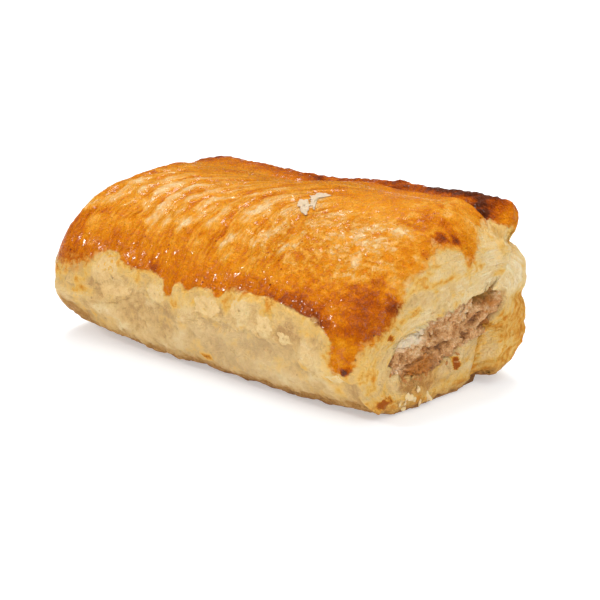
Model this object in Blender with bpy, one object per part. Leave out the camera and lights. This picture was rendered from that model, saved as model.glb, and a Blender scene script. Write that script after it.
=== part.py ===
"""Sausage roll: a puff-pastry wrap, open at both cut ends, baked round a flattened bar of sausage meat.

+X runs along the roll to the end whose cut shows most filling, -Y is the pale front side, +Y is the side
that carries the crimped seam, and +Z is up. The origin is at the middle of the footprint, on the surface
that the roll rests on.
"""

import math

import bpy
import numpy as np

MM = 0.001

# The wrap's length, and its section at four stations along X. All in millimetres unless a name says otherwise.
LEFT_END = -57.2
RIGHT_END = 52.7
STATIONS = (-57.0, -23.0, 20.0, 53.0)
FRONT_BULGE = (34.4, 30.6, 30.6, 29.7)
BACK_BULGE = (27.8, 27.2, 30.0, 31.2)
TOP_HEIGHT = (40.0, 40.7, 43.0, 42.3)
TOP_LEAN = (1.3, 3.5, 7.0, 9.5)  # how far the top rises from front to back
LOWER_ROUNDNESS = (2.3, 4.0, 4.3, 3.1)  # superellipse power: 2 is round, 4 is a soft box
UPPER_ROUNDNESS = 2.3
WIDEST_LEVEL = 0.42  # height of the widest place, as a share of the top height
FLAT_BASE_CUT = 0.7  # thickness taken off the underside by the baking sheet

# The crimped seam: a thin flange along the back of the top.
CRIMP_PLACE = math.pi + 0.95  # angle round the section, from the middle of the base by way of the front
CRIMP_BACK_FLANK = 0.10  # radians
CRIMP_TOP_FLANK = 0.12  # radians, wider towards the left end by the next value
CRIMP_FLANK_SPREAD = 0.45
CRIMP_LENGTH = (7.6, 5.9, 6.0, 7.4)
CRIMP_RISE_DEG = (50.0, 44.0, 50.0, 54.0)
CRIMP_RIGHT_REACH = 5.1  # how far its right corner points past the cut
CRIMP_LEFT_REACH = 3.0
CRIMP_FADE_RIGHT = 0.5  # share of the end's rounding over which the flange runs out
CRIMP_FADE_LEFT = 0.95
VALLEY_DEPTH = 1.2  # groove between the top and the flange

# The ends: each rounds over from the wrap to a lip, and turns back into the channel.
LEFT_ROUNDING = 6.2
RIGHT_ROUNDING = 5.0
EXTRA_TOP_ROUNDING = 10.0
EXTRA_LEFT_ROUNDING = 5.0  # the left end is rounded further, above and below
WALL_SHARE_AT_LIP = 0.30
LIP_TURN_IN = 4.0
FOLD_PLACE = 9.5  # Y of the fold where the wrap's edge tucks under, at the right end
FOLD_DEPTH = 1.8
FOLD_HALF_WIDTH = 2.0

# The channel that holds the meat: a tilted lens that runs from end to end.
CHANNEL_CENTRE = (0.8, 15.0)
CHANNEL_HALF_WIDTH = 22.0
CHANNEL_ABOVE = 6.2
CHANNEL_BELOW = 7.0
CHANNEL_TILT = math.radians(17.5)

MEAT_GAP = 0.35
MEAT_RIGHT_END = 51.2
MEAT_LEFT_END = -54.6
MEAT_END_ROUNDING = 2.2

# How finely each solid is divided.
AROUND = 80
ALONG = 22
END_STEPS = 8
LIP_STEPS = 3
CHANNEL_STEPS = 5
MEAT_STEPS = 7


def ease(low, high, value):
    """Smooth step from 0 at low to 1 at high; low may be the larger."""
    t = np.clip((np.asarray(value, float) - low) / (high - low), 0.0, 1.0)
    return t * t * (3.0 - 2.0 * t)


def at_station(x, values):
    """A dimension at x, eased between its values at the four stations."""
    places = np.array(STATIONS)
    values = np.array(values)
    x = np.clip(x, places[0], places[-1])
    k = np.clip(np.searchsorted(places, x, side="right") - 1, 0, len(places) - 2)
    t = ease(places[k], places[k + 1], x)
    return values[k] * (1.0 - t) + values[k + 1] * t


def wrap_section(angle, x):
    """Y and Z of the wrap's outside, without its seam. The angle starts under the roll and goes by the front."""
    across = np.cos(-math.pi / 2 - angle)
    up = np.sin(-math.pi / 2 - angle)
    lower = at_station(x, LOWER_ROUNDNESS)
    power = 2.0 / (lower + (UPPER_ROUNDNESS - lower) * ease(-0.5, 0.5, up))
    across = np.sign(across) * np.abs(across) ** power
    up = np.sign(up) * np.abs(up) ** power
    height = at_station(x, TOP_HEIGHT)
    level = WIDEST_LEVEL * height
    reach = np.where(across < 0, at_station(x, FRONT_BULGE), at_station(x, BACK_BULGE))
    z = level + np.where(up > 0, (height - level) * up, level * up)
    z = z + at_station(x, TOP_LEAN) * np.maximum(up, 0.0) * across
    return reach * across, np.maximum(z, FLAT_BASE_CUT) - FLAT_BASE_CUT


def crimp(angle, x):
    """How far the seam's flange and its valley move each point of the section, as X, Y, Z."""
    turn = angle - CRIMP_PLACE
    leftward = ease(0.0, -45.0, x)
    top_flank = CRIMP_TOP_FLANK + CRIMP_FLANK_SPREAD * leftward
    flank = np.where(turn < 0, top_flank, CRIMP_BACK_FLANK)
    steepness = np.where(turn < 0, 1.6 - 0.45 * leftward, 1.7)
    profile = ease(0.0, 1.0, np.clip((1.0 - np.abs(turn) / flank) * steepness, 0.0, 1.0))
    rise = np.radians(at_station(x, CRIMP_RISE_DEG))
    length = at_station(x, CRIMP_LENGTH) * profile
    reach = CRIMP_RIGHT_REACH * ease(30.0, 52.0, x) - CRIMP_LEFT_REACH * ease(-35.0, -57.0, x)
    valley = np.exp(-(((turn + top_flank + 0.05) / 0.12) ** 2)) * ease(-35.0, 15.0, x)
    return np.stack([reach * profile, length * np.cos(rise), length * np.sin(rise) - VALLEY_DEPTH * valley], -1)


def section_angles(count):
    """Angles that divide the middle section evenly by length, and twice as finely on the seam."""
    fine = np.linspace(0.0, 2 * math.pi, 6001)
    y, z = wrap_section(fine, np.zeros_like(fine))
    moved = crimp(fine, np.zeros_like(fine))
    steps = np.hypot(np.diff(y + moved[:, 1]), np.diff(z + moved[:, 2]))
    middle = (fine[1:] + fine[:-1]) / 2
    weight = steps * (1.0 + 1.2 * np.exp(-(((middle - CRIMP_PLACE) / (0.9 * CRIMP_BACK_FLANK)) ** 2)))
    total = np.concatenate([[0.0], np.cumsum(weight)])
    return np.interp(np.arange(count) / count * total[-1], total, fine)


def channel_point(turn, shrink=0.0):
    """Y and Z on the channel's outline at an angle round its own middle, moved inwards by shrink."""
    along = (CHANNEL_HALF_WIDTH - shrink) * np.cos(turn)
    above = np.sin(turn) * np.where(np.sin(turn) < 0, CHANNEL_BELOW - shrink, CHANNEL_ABOVE - shrink)
    y = CHANNEL_CENTRE[0] + math.cos(CHANNEL_TILT) * along - math.sin(CHANNEL_TILT) * above
    z = CHANNEL_CENTRE[1] + math.sin(CHANNEL_TILT) * along + math.cos(CHANNEL_TILT) * above
    return y, z


def channel_turns(angles):
    """The angle round the channel that faces each angle round the wrap's middle section."""
    y, z = wrap_section(angles, np.zeros_like(angles))
    y = y - CHANNEL_CENTRE[0]
    z = z - CHANNEL_CENTRE[1]
    along = math.cos(CHANNEL_TILT) * y + math.sin(CHANNEL_TILT) * z
    above = -math.sin(CHANNEL_TILT) * y + math.cos(CHANNEL_TILT) * z
    return np.arctan2(above, 0.6 * along)


def end_rings(side, angles, turns):
    """Rings of points from the wrap's outside over one end and into the channel. side is 1 right, -1 left."""
    end = RIGHT_END if side > 0 else LEFT_END
    rounding = RIGHT_ROUNDING if side > 0 else LEFT_ROUNDING
    x = np.full_like(angles, end - side * 0.8 * rounding)
    y_out, z_out = wrap_section(angles, x)
    flange = crimp(angles, x)
    y_in, z_in = channel_point(turns)
    high = ease(4.0, 34.0, z_out)
    lip_share = WALL_SHARE_AT_LIP - 0.20 * ease(18.0, 34.0, z_out) * ease(30.0, 20.0, y_out)
    reach = rounding + (high * EXTRA_TOP_ROUNDING if side > 0 else EXTRA_LEFT_ROUNDING)
    # On the right the upper lip stands out, the lower lip sits back and the lobe behind the fold bulges.
    lip_out = 0.0 * high
    if side > 0:
        lip_out = 1.2 * high - 2.5 * ease(14.0, 2.0, z_out) * ease(25.0, 5.0, y_out)
        lip_out = lip_out + 1.5 * ease(10.0, 20.0, y_out) * ease(34.0, 20.0, z_out)
    fade = CRIMP_FADE_RIGHT if side > 0 else CRIMP_FADE_LEFT
    rings = []
    for step in np.linspace(0.0, 1.0, END_STEPS + 1)[1:]:
        share = 1.0 - (1.0 - lip_share) * (1.0 - math.cos(step * math.pi / 2) ** 0.9)
        ring_x = end + side * lip_out * ease(0.0, 1.0, step) - side * reach * (1.0 - math.sin(step * math.pi / 2) ** 0.9)
        flange_left = math.sqrt(max(0.0, 1.0 - (step / fade) ** 2))
        ring = np.stack([ring_x, y_in + (y_out - y_in) * share, z_in + (z_out - z_in) * share], -1)
        rings.append(ring + flange * flange_left)
    for step in np.linspace(0.0, 1.0, LIP_STEPS + 1)[1:]:
        share = lip_share * (1.0 - math.sin(step * math.pi / 2) ** 0.9)
        ring_x = end + side * lip_out - side * LIP_TURN_IN * (1.0 - math.cos(step * math.pi / 2) ** 0.9)
        rings.append(np.stack([ring_x, y_in + (y_out - y_in) * share, z_in + (z_out - z_in) * share], -1))
    return reach, rings


def outward(rings):
    """Unit normals of a closed grid of rings, pointing out of the pastry."""
    along = np.roll(rings, -1, axis=0) - np.roll(rings, 1, axis=0)
    around = np.roll(rings, -1, axis=1) - np.roll(rings, 1, axis=1)
    normal = np.cross(along, around)
    return normal / np.maximum(np.linalg.norm(normal, axis=2, keepdims=True), 1e-9)


def press_fold(rings, outer_count):
    """Presses in the fold at the right end, on the outer rings only."""
    x, y, z = np.moveaxis(rings, 2, 0)
    place = FOLD_PLACE + 0.2 * z
    depth = FOLD_DEPTH * np.exp(-(((y - place) / FOLD_HALF_WIDTH) ** 2)) * ease(17.0, 9.0, z) * ease(40.0, 50.0, x)
    depth[outer_count:] = 0.0
    pressed = rings - outward(rings) * depth[:, :, None]
    pressed[:, :, 2] = np.maximum(pressed[:, :, 2], 0.0)
    return pressed


def wrap_rings():
    """The whole wrap as rings: along the outside, over the right end, back through the channel, over the left."""
    angles = section_angles(AROUND)
    turns = channel_turns(angles)
    left_reach, left_rings = end_rings(-1, angles, turns)
    right_reach, right_rings = end_rings(1, angles, turns)
    start = LEFT_END + 0.8 * LEFT_ROUNDING
    finish = RIGHT_END - 0.8 * RIGHT_ROUNDING
    rings = []
    for share in np.linspace(0.0, 1.0, ALONG):
        station = np.full_like(angles, start + (finish - start) * share)
        y, z = wrap_section(angles, station)
        x = (LEFT_END + left_reach) * (1.0 - share) + (RIGHT_END - right_reach) * share
        rings.append(np.stack([x, y, z], -1) + crimp(angles, station))
    inner_shares = np.linspace(0.0, 1.0, CHANNEL_STEPS + 2)[1:-1]
    channel = [right_rings[-1] * (1.0 - share) + left_rings[-1] * share for share in inner_shares]
    outer_count = len(rings) + END_STEPS - 1
    return press_fold(np.array(rings + right_rings + channel + left_rings[::-1]), outer_count)


def meat_rings():
    """The filling as rings, with a small domed end at each side."""
    turns = channel_turns(section_angles(AROUND))[::2]
    dome = [(0.0, 0.45), (0.12, 0.8), (0.45, 0.96), (1.0, 1.0)]  # share of the rounding, share of the section
    stations = [(MEAT_LEFT_END + MEAT_END_ROUNDING * depth, size) for depth, size in dome]
    inner = np.linspace(MEAT_LEFT_END + MEAT_END_ROUNDING, MEAT_RIGHT_END - MEAT_END_ROUNDING, MEAT_STEPS)[1:-1]
    stations += [(x, 1.0) for x in inner]
    stations += [(MEAT_RIGHT_END - MEAT_END_ROUNDING * depth, size) for depth, size in reversed(dome)]
    y, z = channel_point(turns, MEAT_GAP)
    middle_y, middle_z = CHANNEL_CENTRE
    return np.array(
        [
            np.stack([np.full_like(y, x), middle_y + (y - middle_y) * size, middle_z + (z - middle_z) * size], -1)
            for x, size in stations
        ]
    )


def ring_faces(ring_count, around, closed):
    """Quads between neighbouring rings; closed also joins the last ring to the first."""
    faces = []
    for ring in range(ring_count if closed else ring_count - 1):
        following = (ring + 1) % ring_count
        for place in range(around):
            beside = (place + 1) % around
            faces.append(
                (
                    ring * around + place,
                    following * around + place,
                    following * around + beside,
                    ring * around + beside,
                )
            )
    return faces


def food_material(name, colour, roughness):
    material = bpy.data.materials.new(name)
    material.use_nodes = True
    shader = material.node_tree.nodes["Principled BSDF"]
    shader.inputs["Base Color"].default_value = (*colour, 1.0)
    shader.inputs["Roughness"].default_value = roughness
    shader.inputs["Metallic"].default_value = 0.0
    return material


def add_solid(name, points, faces, material, footprint_middle):
    """Makes an object from points in millimetres, moved so that the footprint's middle is at the origin."""
    mesh = bpy.data.meshes.new(name)
    mesh.from_pydata(((points - footprint_middle) * MM).tolist(), [], faces)
    mesh.materials.append(material)
    mesh.shade_smooth()
    mesh.set_sharp_from_angle(angle=math.radians(50.0))
    solid = bpy.data.objects.new(name, mesh)
    bpy.context.scene.collection.objects.link(solid)
    return solid


def build_pastry(rings, footprint_middle):
    faces = ring_faces(len(rings), AROUND, closed=True)
    crust = food_material("baked pastry", (0.72, 0.40, 0.12), 0.45)
    return add_solid("pastry", rings.reshape(-1, 3), faces, crust, footprint_middle)


def build_filling(footprint_middle):
    rings = meat_rings()
    around = rings.shape[1]
    points = rings.reshape(-1, 3)
    faces = ring_faces(len(rings), around, closed=False)
    first_middle = len(points)
    last_ring = (len(rings) - 1) * around
    for place in range(around):
        beside = (place + 1) % around
        faces.append((first_middle, place, beside))
        faces.append((first_middle + 1, last_ring + beside, last_ring + place))
    ends = [[MEAT_LEFT_END - 0.2, *CHANNEL_CENTRE], [MEAT_RIGHT_END + 0.2, *CHANNEL_CENTRE]]
    meat = food_material("sausage meat", (0.40, 0.24, 0.16), 0.6)
    return add_solid("sausage_filling", np.vstack([points, ends]), faces, meat, footprint_middle)


def main():
    for old in list(bpy.data.objects):
        bpy.data.objects.remove(old, do_unlink=True)
    wrap = wrap_rings()
    lowest = wrap.min(axis=(0, 1))
    highest = wrap.max(axis=(0, 1))
    footprint_middle = np.array([(lowest[0] + highest[0]) / 2, (lowest[1] + highest[1]) / 2, lowest[2]])
    build_pastry(wrap, footprint_middle)
    build_filling(footprint_middle)


main()
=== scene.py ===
"""Looks of a sausage roll: a glazed puff-pastry wrap with a crimped seam, round a bar of sausage meat.

+X runs along the roll to the end whose cut shows most filling, -Y is the pale front side, +Y carries the
crimped seam, +Z is up. Shapes are worked out in millimetres, and become metres when a mesh is made.
"""

import math
from itertools import product

import bpy
import numpy as np
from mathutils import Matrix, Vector


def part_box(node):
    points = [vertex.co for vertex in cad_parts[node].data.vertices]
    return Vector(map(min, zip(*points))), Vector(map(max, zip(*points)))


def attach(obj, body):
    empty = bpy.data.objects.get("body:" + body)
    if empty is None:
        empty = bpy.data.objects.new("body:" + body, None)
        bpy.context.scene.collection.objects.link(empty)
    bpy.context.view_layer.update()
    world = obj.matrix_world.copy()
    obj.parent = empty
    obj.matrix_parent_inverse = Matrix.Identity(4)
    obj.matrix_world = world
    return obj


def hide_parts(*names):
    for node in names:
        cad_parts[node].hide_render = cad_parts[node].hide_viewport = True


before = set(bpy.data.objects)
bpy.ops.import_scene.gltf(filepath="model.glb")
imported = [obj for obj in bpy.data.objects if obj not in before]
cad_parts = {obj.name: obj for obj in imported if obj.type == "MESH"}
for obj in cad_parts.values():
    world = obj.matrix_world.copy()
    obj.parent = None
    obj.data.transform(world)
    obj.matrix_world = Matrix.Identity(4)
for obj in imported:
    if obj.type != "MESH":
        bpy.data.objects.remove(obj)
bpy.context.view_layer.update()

MM = 0.001
BODY = "root"
PASTRY_LOW, PASTRY_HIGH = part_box("pastry")

# ---------------------------------------------------------------- sizes of the wrap, in millimetres
LEFT_END = -57.2
RIGHT_END = 52.7
STATIONS = (-57.0, -23.0, 20.0, 53.0)
FRONT_BULGE = (34.4, 30.6, 30.6, 29.7)
BACK_BULGE = (27.8, 27.2, 30.0, 31.2)
TOP_HEIGHT = (40.0, 40.7, 43.0, 42.3)
TOP_LEAN = (1.3, 3.5, 7.0, 9.5)
LOWER_ROUNDNESS = (2.3, 4.0, 4.3, 3.1)
UPPER_ROUNDNESS = 2.3
WIDEST_LEVEL = 0.42
FLAT_BASE_CUT = 0.7

CRIMP_PLACE = math.pi + 0.95
CRIMP_BACK_FLANK = 0.10
CRIMP_TOP_FLANK = 0.12
CRIMP_FLANK_SPREAD = 0.45
CRIMP_LENGTH = (7.2, 6.4, 5.5, 5.6)
CRIMP_RISE_DEG = (50.0, 44.0, 50.0, 54.0)
CRIMP_RIGHT_REACH = 3.6
CRIMP_LEFT_REACH = 1.5
CRIMP_FADE_RIGHT = 0.40
CRIMP_FADE_LEFT = 0.95
VALLEY_FILL = 2.2

LEFT_ROUNDING = 6.2
RIGHT_ROUNDING = 5.0
EXTRA_TOP_ROUNDING = 10.0
EXTRA_LEFT_ROUNDING = 5.0
# The share of an end's rounding that the last section before it lies in from the end.
SECTION_INSET = 0.8
WALL_SHARE_AT_LIP = 0.30
LIP_TURN_IN = 4.0

CHANNEL_CENTRE = (0.8, 15.0)
CHANNEL_HALF_WIDTH = 22.0
CHANNEL_ABOVE = 6.2
CHANNEL_BELOW = 7.0
CHANNEL_TILT = math.radians(17.5)

# The mouth that shows at the right end is narrower than the channel: a thin skin of pastry covers the rest.
# Each point is an angle round the meat in degrees, then a place across the roll and a height.
MOUTH_EDGE = (
    (-180, -21.0, 14.6), (-152, -18.4, 11.2), (-120, -13.0, 9.4), (-90, -5.5, 9.6), (-66, 0.8, 10.8),
    (-46, 5.4, 12.6), (-26, 10.2, 14.0), (-6, 15.0, 16.6), (7, 17.6, 19.8), (20, 17.4, 23.8),
    (33, 15.0, 26.7), (60, 6.4, 24.3), (90, -2.4, 22.6), (120, -9.8, 21.6), (150, -16.4, 20.2),
    (165, -19.8, 18.0), (180, -21.0, 14.6),
)

MEAT_GAP = 0.35
MEAT_RIGHT_END = 52.3
MEAT_LEFT_END = -54.6

# How finely the wrap is divided.
AROUND = 360
ALONG = 200
RIGHT_STEPS = 32
LEFT_STEPS = 22
LIP_STEPS = 5
CHANNEL_STEPS = 3

# Points of the wrap lower than this rest on the ground.
ON_GROUND = 0.02

# What each grain starts from, for the crust, the meat and the leaves.
CRUST_SEEDS = (11, 12, 13, 14, 15)
MEAT_SEEDS = (41, 42)
LEAF_GRAIN_SEED = 61
# What the small leaves' places and shapes are drawn from.
LEAF_SEED = 7


def ease(low, high, value):
    """Smooth step from 0 at low to 1 at high; low may be the larger."""
    t = np.clip((np.asarray(value, float) - low) / (high - low), 0.0, 1.0)
    return t * t * (3.0 - 2.0 * t)


def hump(value, centre, half_width):
    """Smooth bump of height 1 at centre, close to nothing a few half widths away."""
    return np.exp(-(((np.asarray(value, float) - centre) / half_width) ** 2))


class Grain:
    """Smooth gradient noise in three dimensions, between about -1 and 1, the same on each run."""

    def __init__(self, seed):
        maker = np.random.default_rng(seed)
        self.order = maker.permutation(256)
        directions = maker.normal(size=(256, 3))
        self.directions = directions / np.linalg.norm(directions, axis=1, keepdims=True)

    def pick(self, cell):
        place = self.order[cell[..., 0] & 255]
        place = self.order[(place + cell[..., 1]) & 255]
        return self.directions[self.order[(place + cell[..., 2]) & 255]]

    def at(self, points, size=1.0):
        """One layer of grain whose lumps are about size across."""
        points = np.asarray(points, float) / size
        cell = np.floor(points).astype(int)
        inside = points - cell
        weight = inside**3 * (inside * (inside * 6.0 - 15.0) + 10.0)
        total = np.zeros(points.shape[:-1])
        for corner in product((0, 1), repeat=3):
            share = np.prod(np.where(corner, weight, 1.0 - weight), axis=-1)
            total += share * np.sum(self.pick(cell + corner) * (inside - corner), axis=-1)
        return 1.7 * total

    def layered(self, points, size, layers=3, fade=0.5):
        """Grain with finer grain on top of it."""
        total = 0.0
        strength = 1.0
        for layer in range(layers):
            total = total + strength * self.at(np.asarray(points, float) + 37.1 * layer, size)
            size *= 0.5
            strength *= fade
        return total


def flat(first, second, third=0.0):
    """Points for grain made of two surface coordinates."""
    first, second = np.broadcast_arrays(first, second)
    return np.stack([first, second, np.full_like(first, third, float)], -1)


# ---------------------------------------------------------------- the wrap's shape
def at_station(x, values):
    """A dimension at x, eased between its values at the four stations."""
    places = np.array(STATIONS)
    values = np.array(values)
    x = np.clip(x, places[0], places[-1])
    k = np.clip(np.searchsorted(places, x, side="right") - 1, 0, len(places) - 2)
    t = ease(places[k], places[k + 1], x)
    return values[k] * (1.0 - t) + values[k + 1] * t


def wrap_section(angle, x):
    """Y and Z of the wrap's outside, without its seam. The angle starts below and goes by the front."""
    across = np.cos(-math.pi / 2 - angle)
    up = np.sin(-math.pi / 2 - angle)
    lower = at_station(x, LOWER_ROUNDNESS)
    power = 2.0 / (lower + (UPPER_ROUNDNESS - lower) * ease(-0.5, 0.5, up))
    across = np.sign(across) * np.abs(across) ** power
    up = np.sign(up) * np.abs(up) ** power
    height = at_station(x, TOP_HEIGHT)
    level = WIDEST_LEVEL * height
    reach = np.where(across < 0, at_station(x, FRONT_BULGE), at_station(x, BACK_BULGE))
    z = level + np.where(up > 0, (height - level) * up, level * up)
    z = z + at_station(x, TOP_LEAN) * np.maximum(up, 0.0) * across
    return reach * across, np.maximum(z, FLAT_BASE_CUT) - FLAT_BASE_CUT


def crimp(angle, x):
    """How far the seam's flange and the fill in front of it move each point of the section, as X, Y, Z."""
    turn = angle - CRIMP_PLACE
    leftward = ease(0.0, -45.0, x)
    top_flank = CRIMP_TOP_FLANK + CRIMP_FLANK_SPREAD * leftward
    flank = np.where(turn < 0, top_flank, CRIMP_BACK_FLANK)
    steepness = np.where(turn < 0, 1.6 - 0.45 * leftward, 1.7)
    profile = ease(0.0, 1.0, np.clip((1.0 - np.abs(turn) / flank) * steepness, 0.0, 1.0))
    rise = np.radians(at_station(x, CRIMP_RISE_DEG))
    length = at_station(x, CRIMP_LENGTH) * profile * (0.72 + 0.28 * ease(-58.0, -46.0, x))
    length = length * (1.0 - 0.10 * ease(43.0, 51.0, x))
    reach = CRIMP_RIGHT_REACH * ease(30.0, 52.0, x) - CRIMP_LEFT_REACH * ease(-35.0, -57.0, x)
    valley = np.exp(-(((turn + top_flank + 0.05) / 0.12) ** 2)) * (0.15 + 0.85 * ease(-35.0, 15.0, x))
    lift = length * np.sin(rise) + VALLEY_FILL * valley
    return np.stack([reach * profile**2, length * np.cos(rise), lift], -1)


def section_angles(count):
    """Angles that divide the middle section by length, finer on the seam and coarser on the flat base."""
    fine = np.linspace(0.0, 2 * math.pi, 6001)
    y, z = wrap_section(fine, np.zeros_like(fine))
    moved = crimp(fine, np.zeros_like(fine))
    steps = np.hypot(np.diff(y + moved[:, 1]), np.diff(z + moved[:, 2]))
    middle = (fine[1:] + fine[:-1]) / 2
    weight = steps * (1.0 + 1.2 * hump(middle, CRIMP_PLACE, 0.9 * CRIMP_BACK_FLANK))
    weight *= 1.0 - 0.5 * ease(0.9, 0.5, np.minimum(middle, 2 * math.pi - middle))
    total = np.concatenate([[0.0], np.cumsum(weight)])
    return np.interp(np.arange(count) / count * total[-1], total, fine)


def channel_point(turn, shrink=0.0):
    """Y and Z on the tilted lens that is the outline of the channel holding the meat."""
    along = (CHANNEL_HALF_WIDTH - shrink) * np.cos(turn)
    level = (np.where(np.sin(turn) < 0, CHANNEL_BELOW, CHANNEL_ABOVE) - shrink) * np.sin(turn)
    y = CHANNEL_CENTRE[0] + math.cos(CHANNEL_TILT) * along - math.sin(CHANNEL_TILT) * level
    z = CHANNEL_CENTRE[1] + math.sin(CHANNEL_TILT) * along + math.cos(CHANNEL_TILT) * level
    return y, z


def mouth_point(turn):
    """Y and Z on the torn edge of pastry round the meat, at the right end."""
    angles, across, level = np.array(MOUTH_EDGE).T
    degrees = np.degrees(turn)
    return np.interp(degrees, angles, across), np.interp(degrees, angles, level)


def channel_turns(angles):
    """The angle round the channel that faces each angle round the wrap's middle section."""
    y, z = wrap_section(angles, np.zeros_like(angles))
    y = y - CHANNEL_CENTRE[0]
    z = z - CHANNEL_CENTRE[1]
    along = math.cos(CHANNEL_TILT) * y + math.sin(CHANNEL_TILT) * z
    above = -math.sin(CHANNEL_TILT) * y + math.cos(CHANNEL_TILT) * z
    return np.arctan2(above, 0.6 * along)


def tuck_line(z):
    """Where across the right cut face the wrap tucks under, at a height."""
    return 13.4 + 0.22 * (np.minimum(z, 16.0) - 5.0)


def lobe_bulge(y, z):
    """How far the lobe behind the tuck stands out from the rest of the right cut face."""
    behind = y - tuck_line(z)
    return (1.2 + 2.2 * ease(22.0, 9.0, z)) * ease(-0.6, 2.6, behind) * ease(38.0, 31.0, z)


def end_turns(steps, reach, power, width):
    """How far round an end's corner each ring lies, up to a quarter turn, evenly along the surface."""
    turn = np.linspace(0.0, math.pi / 2, 800)[:, None]
    inward = width * (1.0 - np.cos(turn) ** power)
    back = reach * (1.0 - np.sin(turn) ** 0.9)
    length = np.cumsum(np.hypot(np.diff(inward, axis=0), np.diff(back, axis=0)), axis=0)
    length = np.vstack([np.zeros_like(width), length])
    wanted = np.linspace(0.0, 1.0, steps + 1)[1:]
    columns = [np.interp(wanted, column / column[-1], turn[:, 0]) for column in length.T]
    return np.array(columns).T


def end_rings(side, steps, angles, turns):
    """Rings from the wrap's outside over one end and into the channel; side is 1 right, -1 left."""
    right = side > 0
    end = RIGHT_END if right else LEFT_END
    rounding = RIGHT_ROUNDING if right else LEFT_ROUNDING
    x = np.full_like(angles, end - side * SECTION_INSET * rounding)
    y_out, z_out = wrap_section(angles, x)
    flange = crimp(angles, x)
    y_in, z_in = channel_point(turns)
    high = ease(4.0, 34.0, z_out)
    if right:
        y_lip, z_lip = mouth_point(turns)
        lobe = ease(8.0, 18.0, y_out) * ease(38.0, 31.0, z_out)
        low_front = ease(12.0, 2.0, z_out) * ease(25.0, 5.0, y_out)
        reach = rounding - 1.2 * low_front + high * EXTRA_TOP_ROUNDING * (1.0 - 0.75 * lobe)
        reach = reach * (1.0 - 0.5 * flange[:, 0] / flange[:, 0].max())
        lip_out = 1.2 * high + 0.5 * low_front
        lip_out = lip_out - 1.2 * ease(17.0, 12.0, z_lip) * ease(12.0, 7.0, y_lip)
    else:
        share = WALL_SHARE_AT_LIP - 0.20 * ease(18.0, 34.0, z_out) * ease(30.0, 20.0, y_out)
        y_lip = y_in + (y_out - y_in) * share
        z_lip = z_in + (z_out - z_in) * share
        reach = rounding + EXTRA_LEFT_ROUNDING * (1.25 - 0.8 * ease(8.0, 30.0, z_out))
        lip_out = 0.0 * high
        lobe = lip_out
    fade = CRIMP_FADE_RIGHT if right else CRIMP_FADE_LEFT
    rings = []
    power = 0.9 - 0.6 * lobe
    for turn in end_turns(steps, reach, power, np.hypot(y_out - y_lip, z_out - z_lip)):
        share = np.clip(np.cos(turn), 0.0, 1.0) ** power
        back = reach * (1.0 - np.sin(turn) ** 0.9)
        step = turn / (math.pi / 2)
        ring_x = end + side * (lip_out * ease(0.0, 1.0, step) - back)
        y = y_lip + (y_out - y_lip) * share
        z = z_lip + (z_out - z_lip) * share
        if right:
            ring_x = ring_x + lobe_bulge(y, z) * ease(0.0, 0.6, step)
        ring = np.stack([ring_x, y, z], -1)
        left = np.maximum(0.0, 1.0 - step / fade)[:, None]
        left = left ** (0.5, 0.8, 0.8) if right else (1.0 - (1.0 - left) ** 2) ** 0.5
        rings.append(ring + flange * left)
    for step in np.linspace(0.0, 1.0, LIP_STEPS + 1)[1:]:
        share = 1.0 - step**2
        back = LIP_TURN_IN * step**0.7
        ring_x = end + side * (lip_out - back)
        if right:
            ring_x = ring_x + lobe_bulge(y_lip, z_lip) * (1.0 - step)
        y = y_in + (y_lip - y_in) * share
        z = z_in + (z_lip - z_in) * share
        rings.append(np.stack([ring_x, y, z], -1))
    return reach, rings


def wrap_rings():
    """The whole wrap as rings: along the outside, over the right end, back inside, over the left end."""
    angles = section_angles(AROUND)
    turns = channel_turns(angles)
    left_reach, left_rings = end_rings(-1, LEFT_STEPS, angles, turns)
    right_reach, right_rings = end_rings(1, RIGHT_STEPS, angles, turns)
    start = LEFT_END + SECTION_INSET * LEFT_ROUNDING
    finish = RIGHT_END - SECTION_INSET * RIGHT_ROUNDING
    rings = []
    for share in np.linspace(0.0, 1.0, ALONG):
        station = np.full_like(angles, start + (finish - start) * share)
        y, z = wrap_section(angles, station)
        x = (LEFT_END + left_reach) * (1.0 - share) + (RIGHT_END - right_reach) * share
        rings.append(np.stack([x, y, z], -1) + crimp(angles, station))
    inner_shares = np.linspace(0.0, 1.0, CHANNEL_STEPS + 2)[1:-1]
    channel = [right_rings[-1] * (1.0 - share) + left_rings[-1] * share for share in inner_shares]
    return np.array(rings + right_rings + channel + left_rings[::-1])


def outward(rings):
    """Unit normals of a closed grid of rings, pointing out of the pastry."""
    along = np.roll(rings, -1, axis=0) - np.roll(rings, 1, axis=0)
    around = np.roll(rings, -1, axis=1) - np.roll(rings, 1, axis=1)
    normal = np.cross(along, around)
    return normal / np.maximum(np.linalg.norm(normal, axis=2, keepdims=True), 1e-9)


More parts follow.
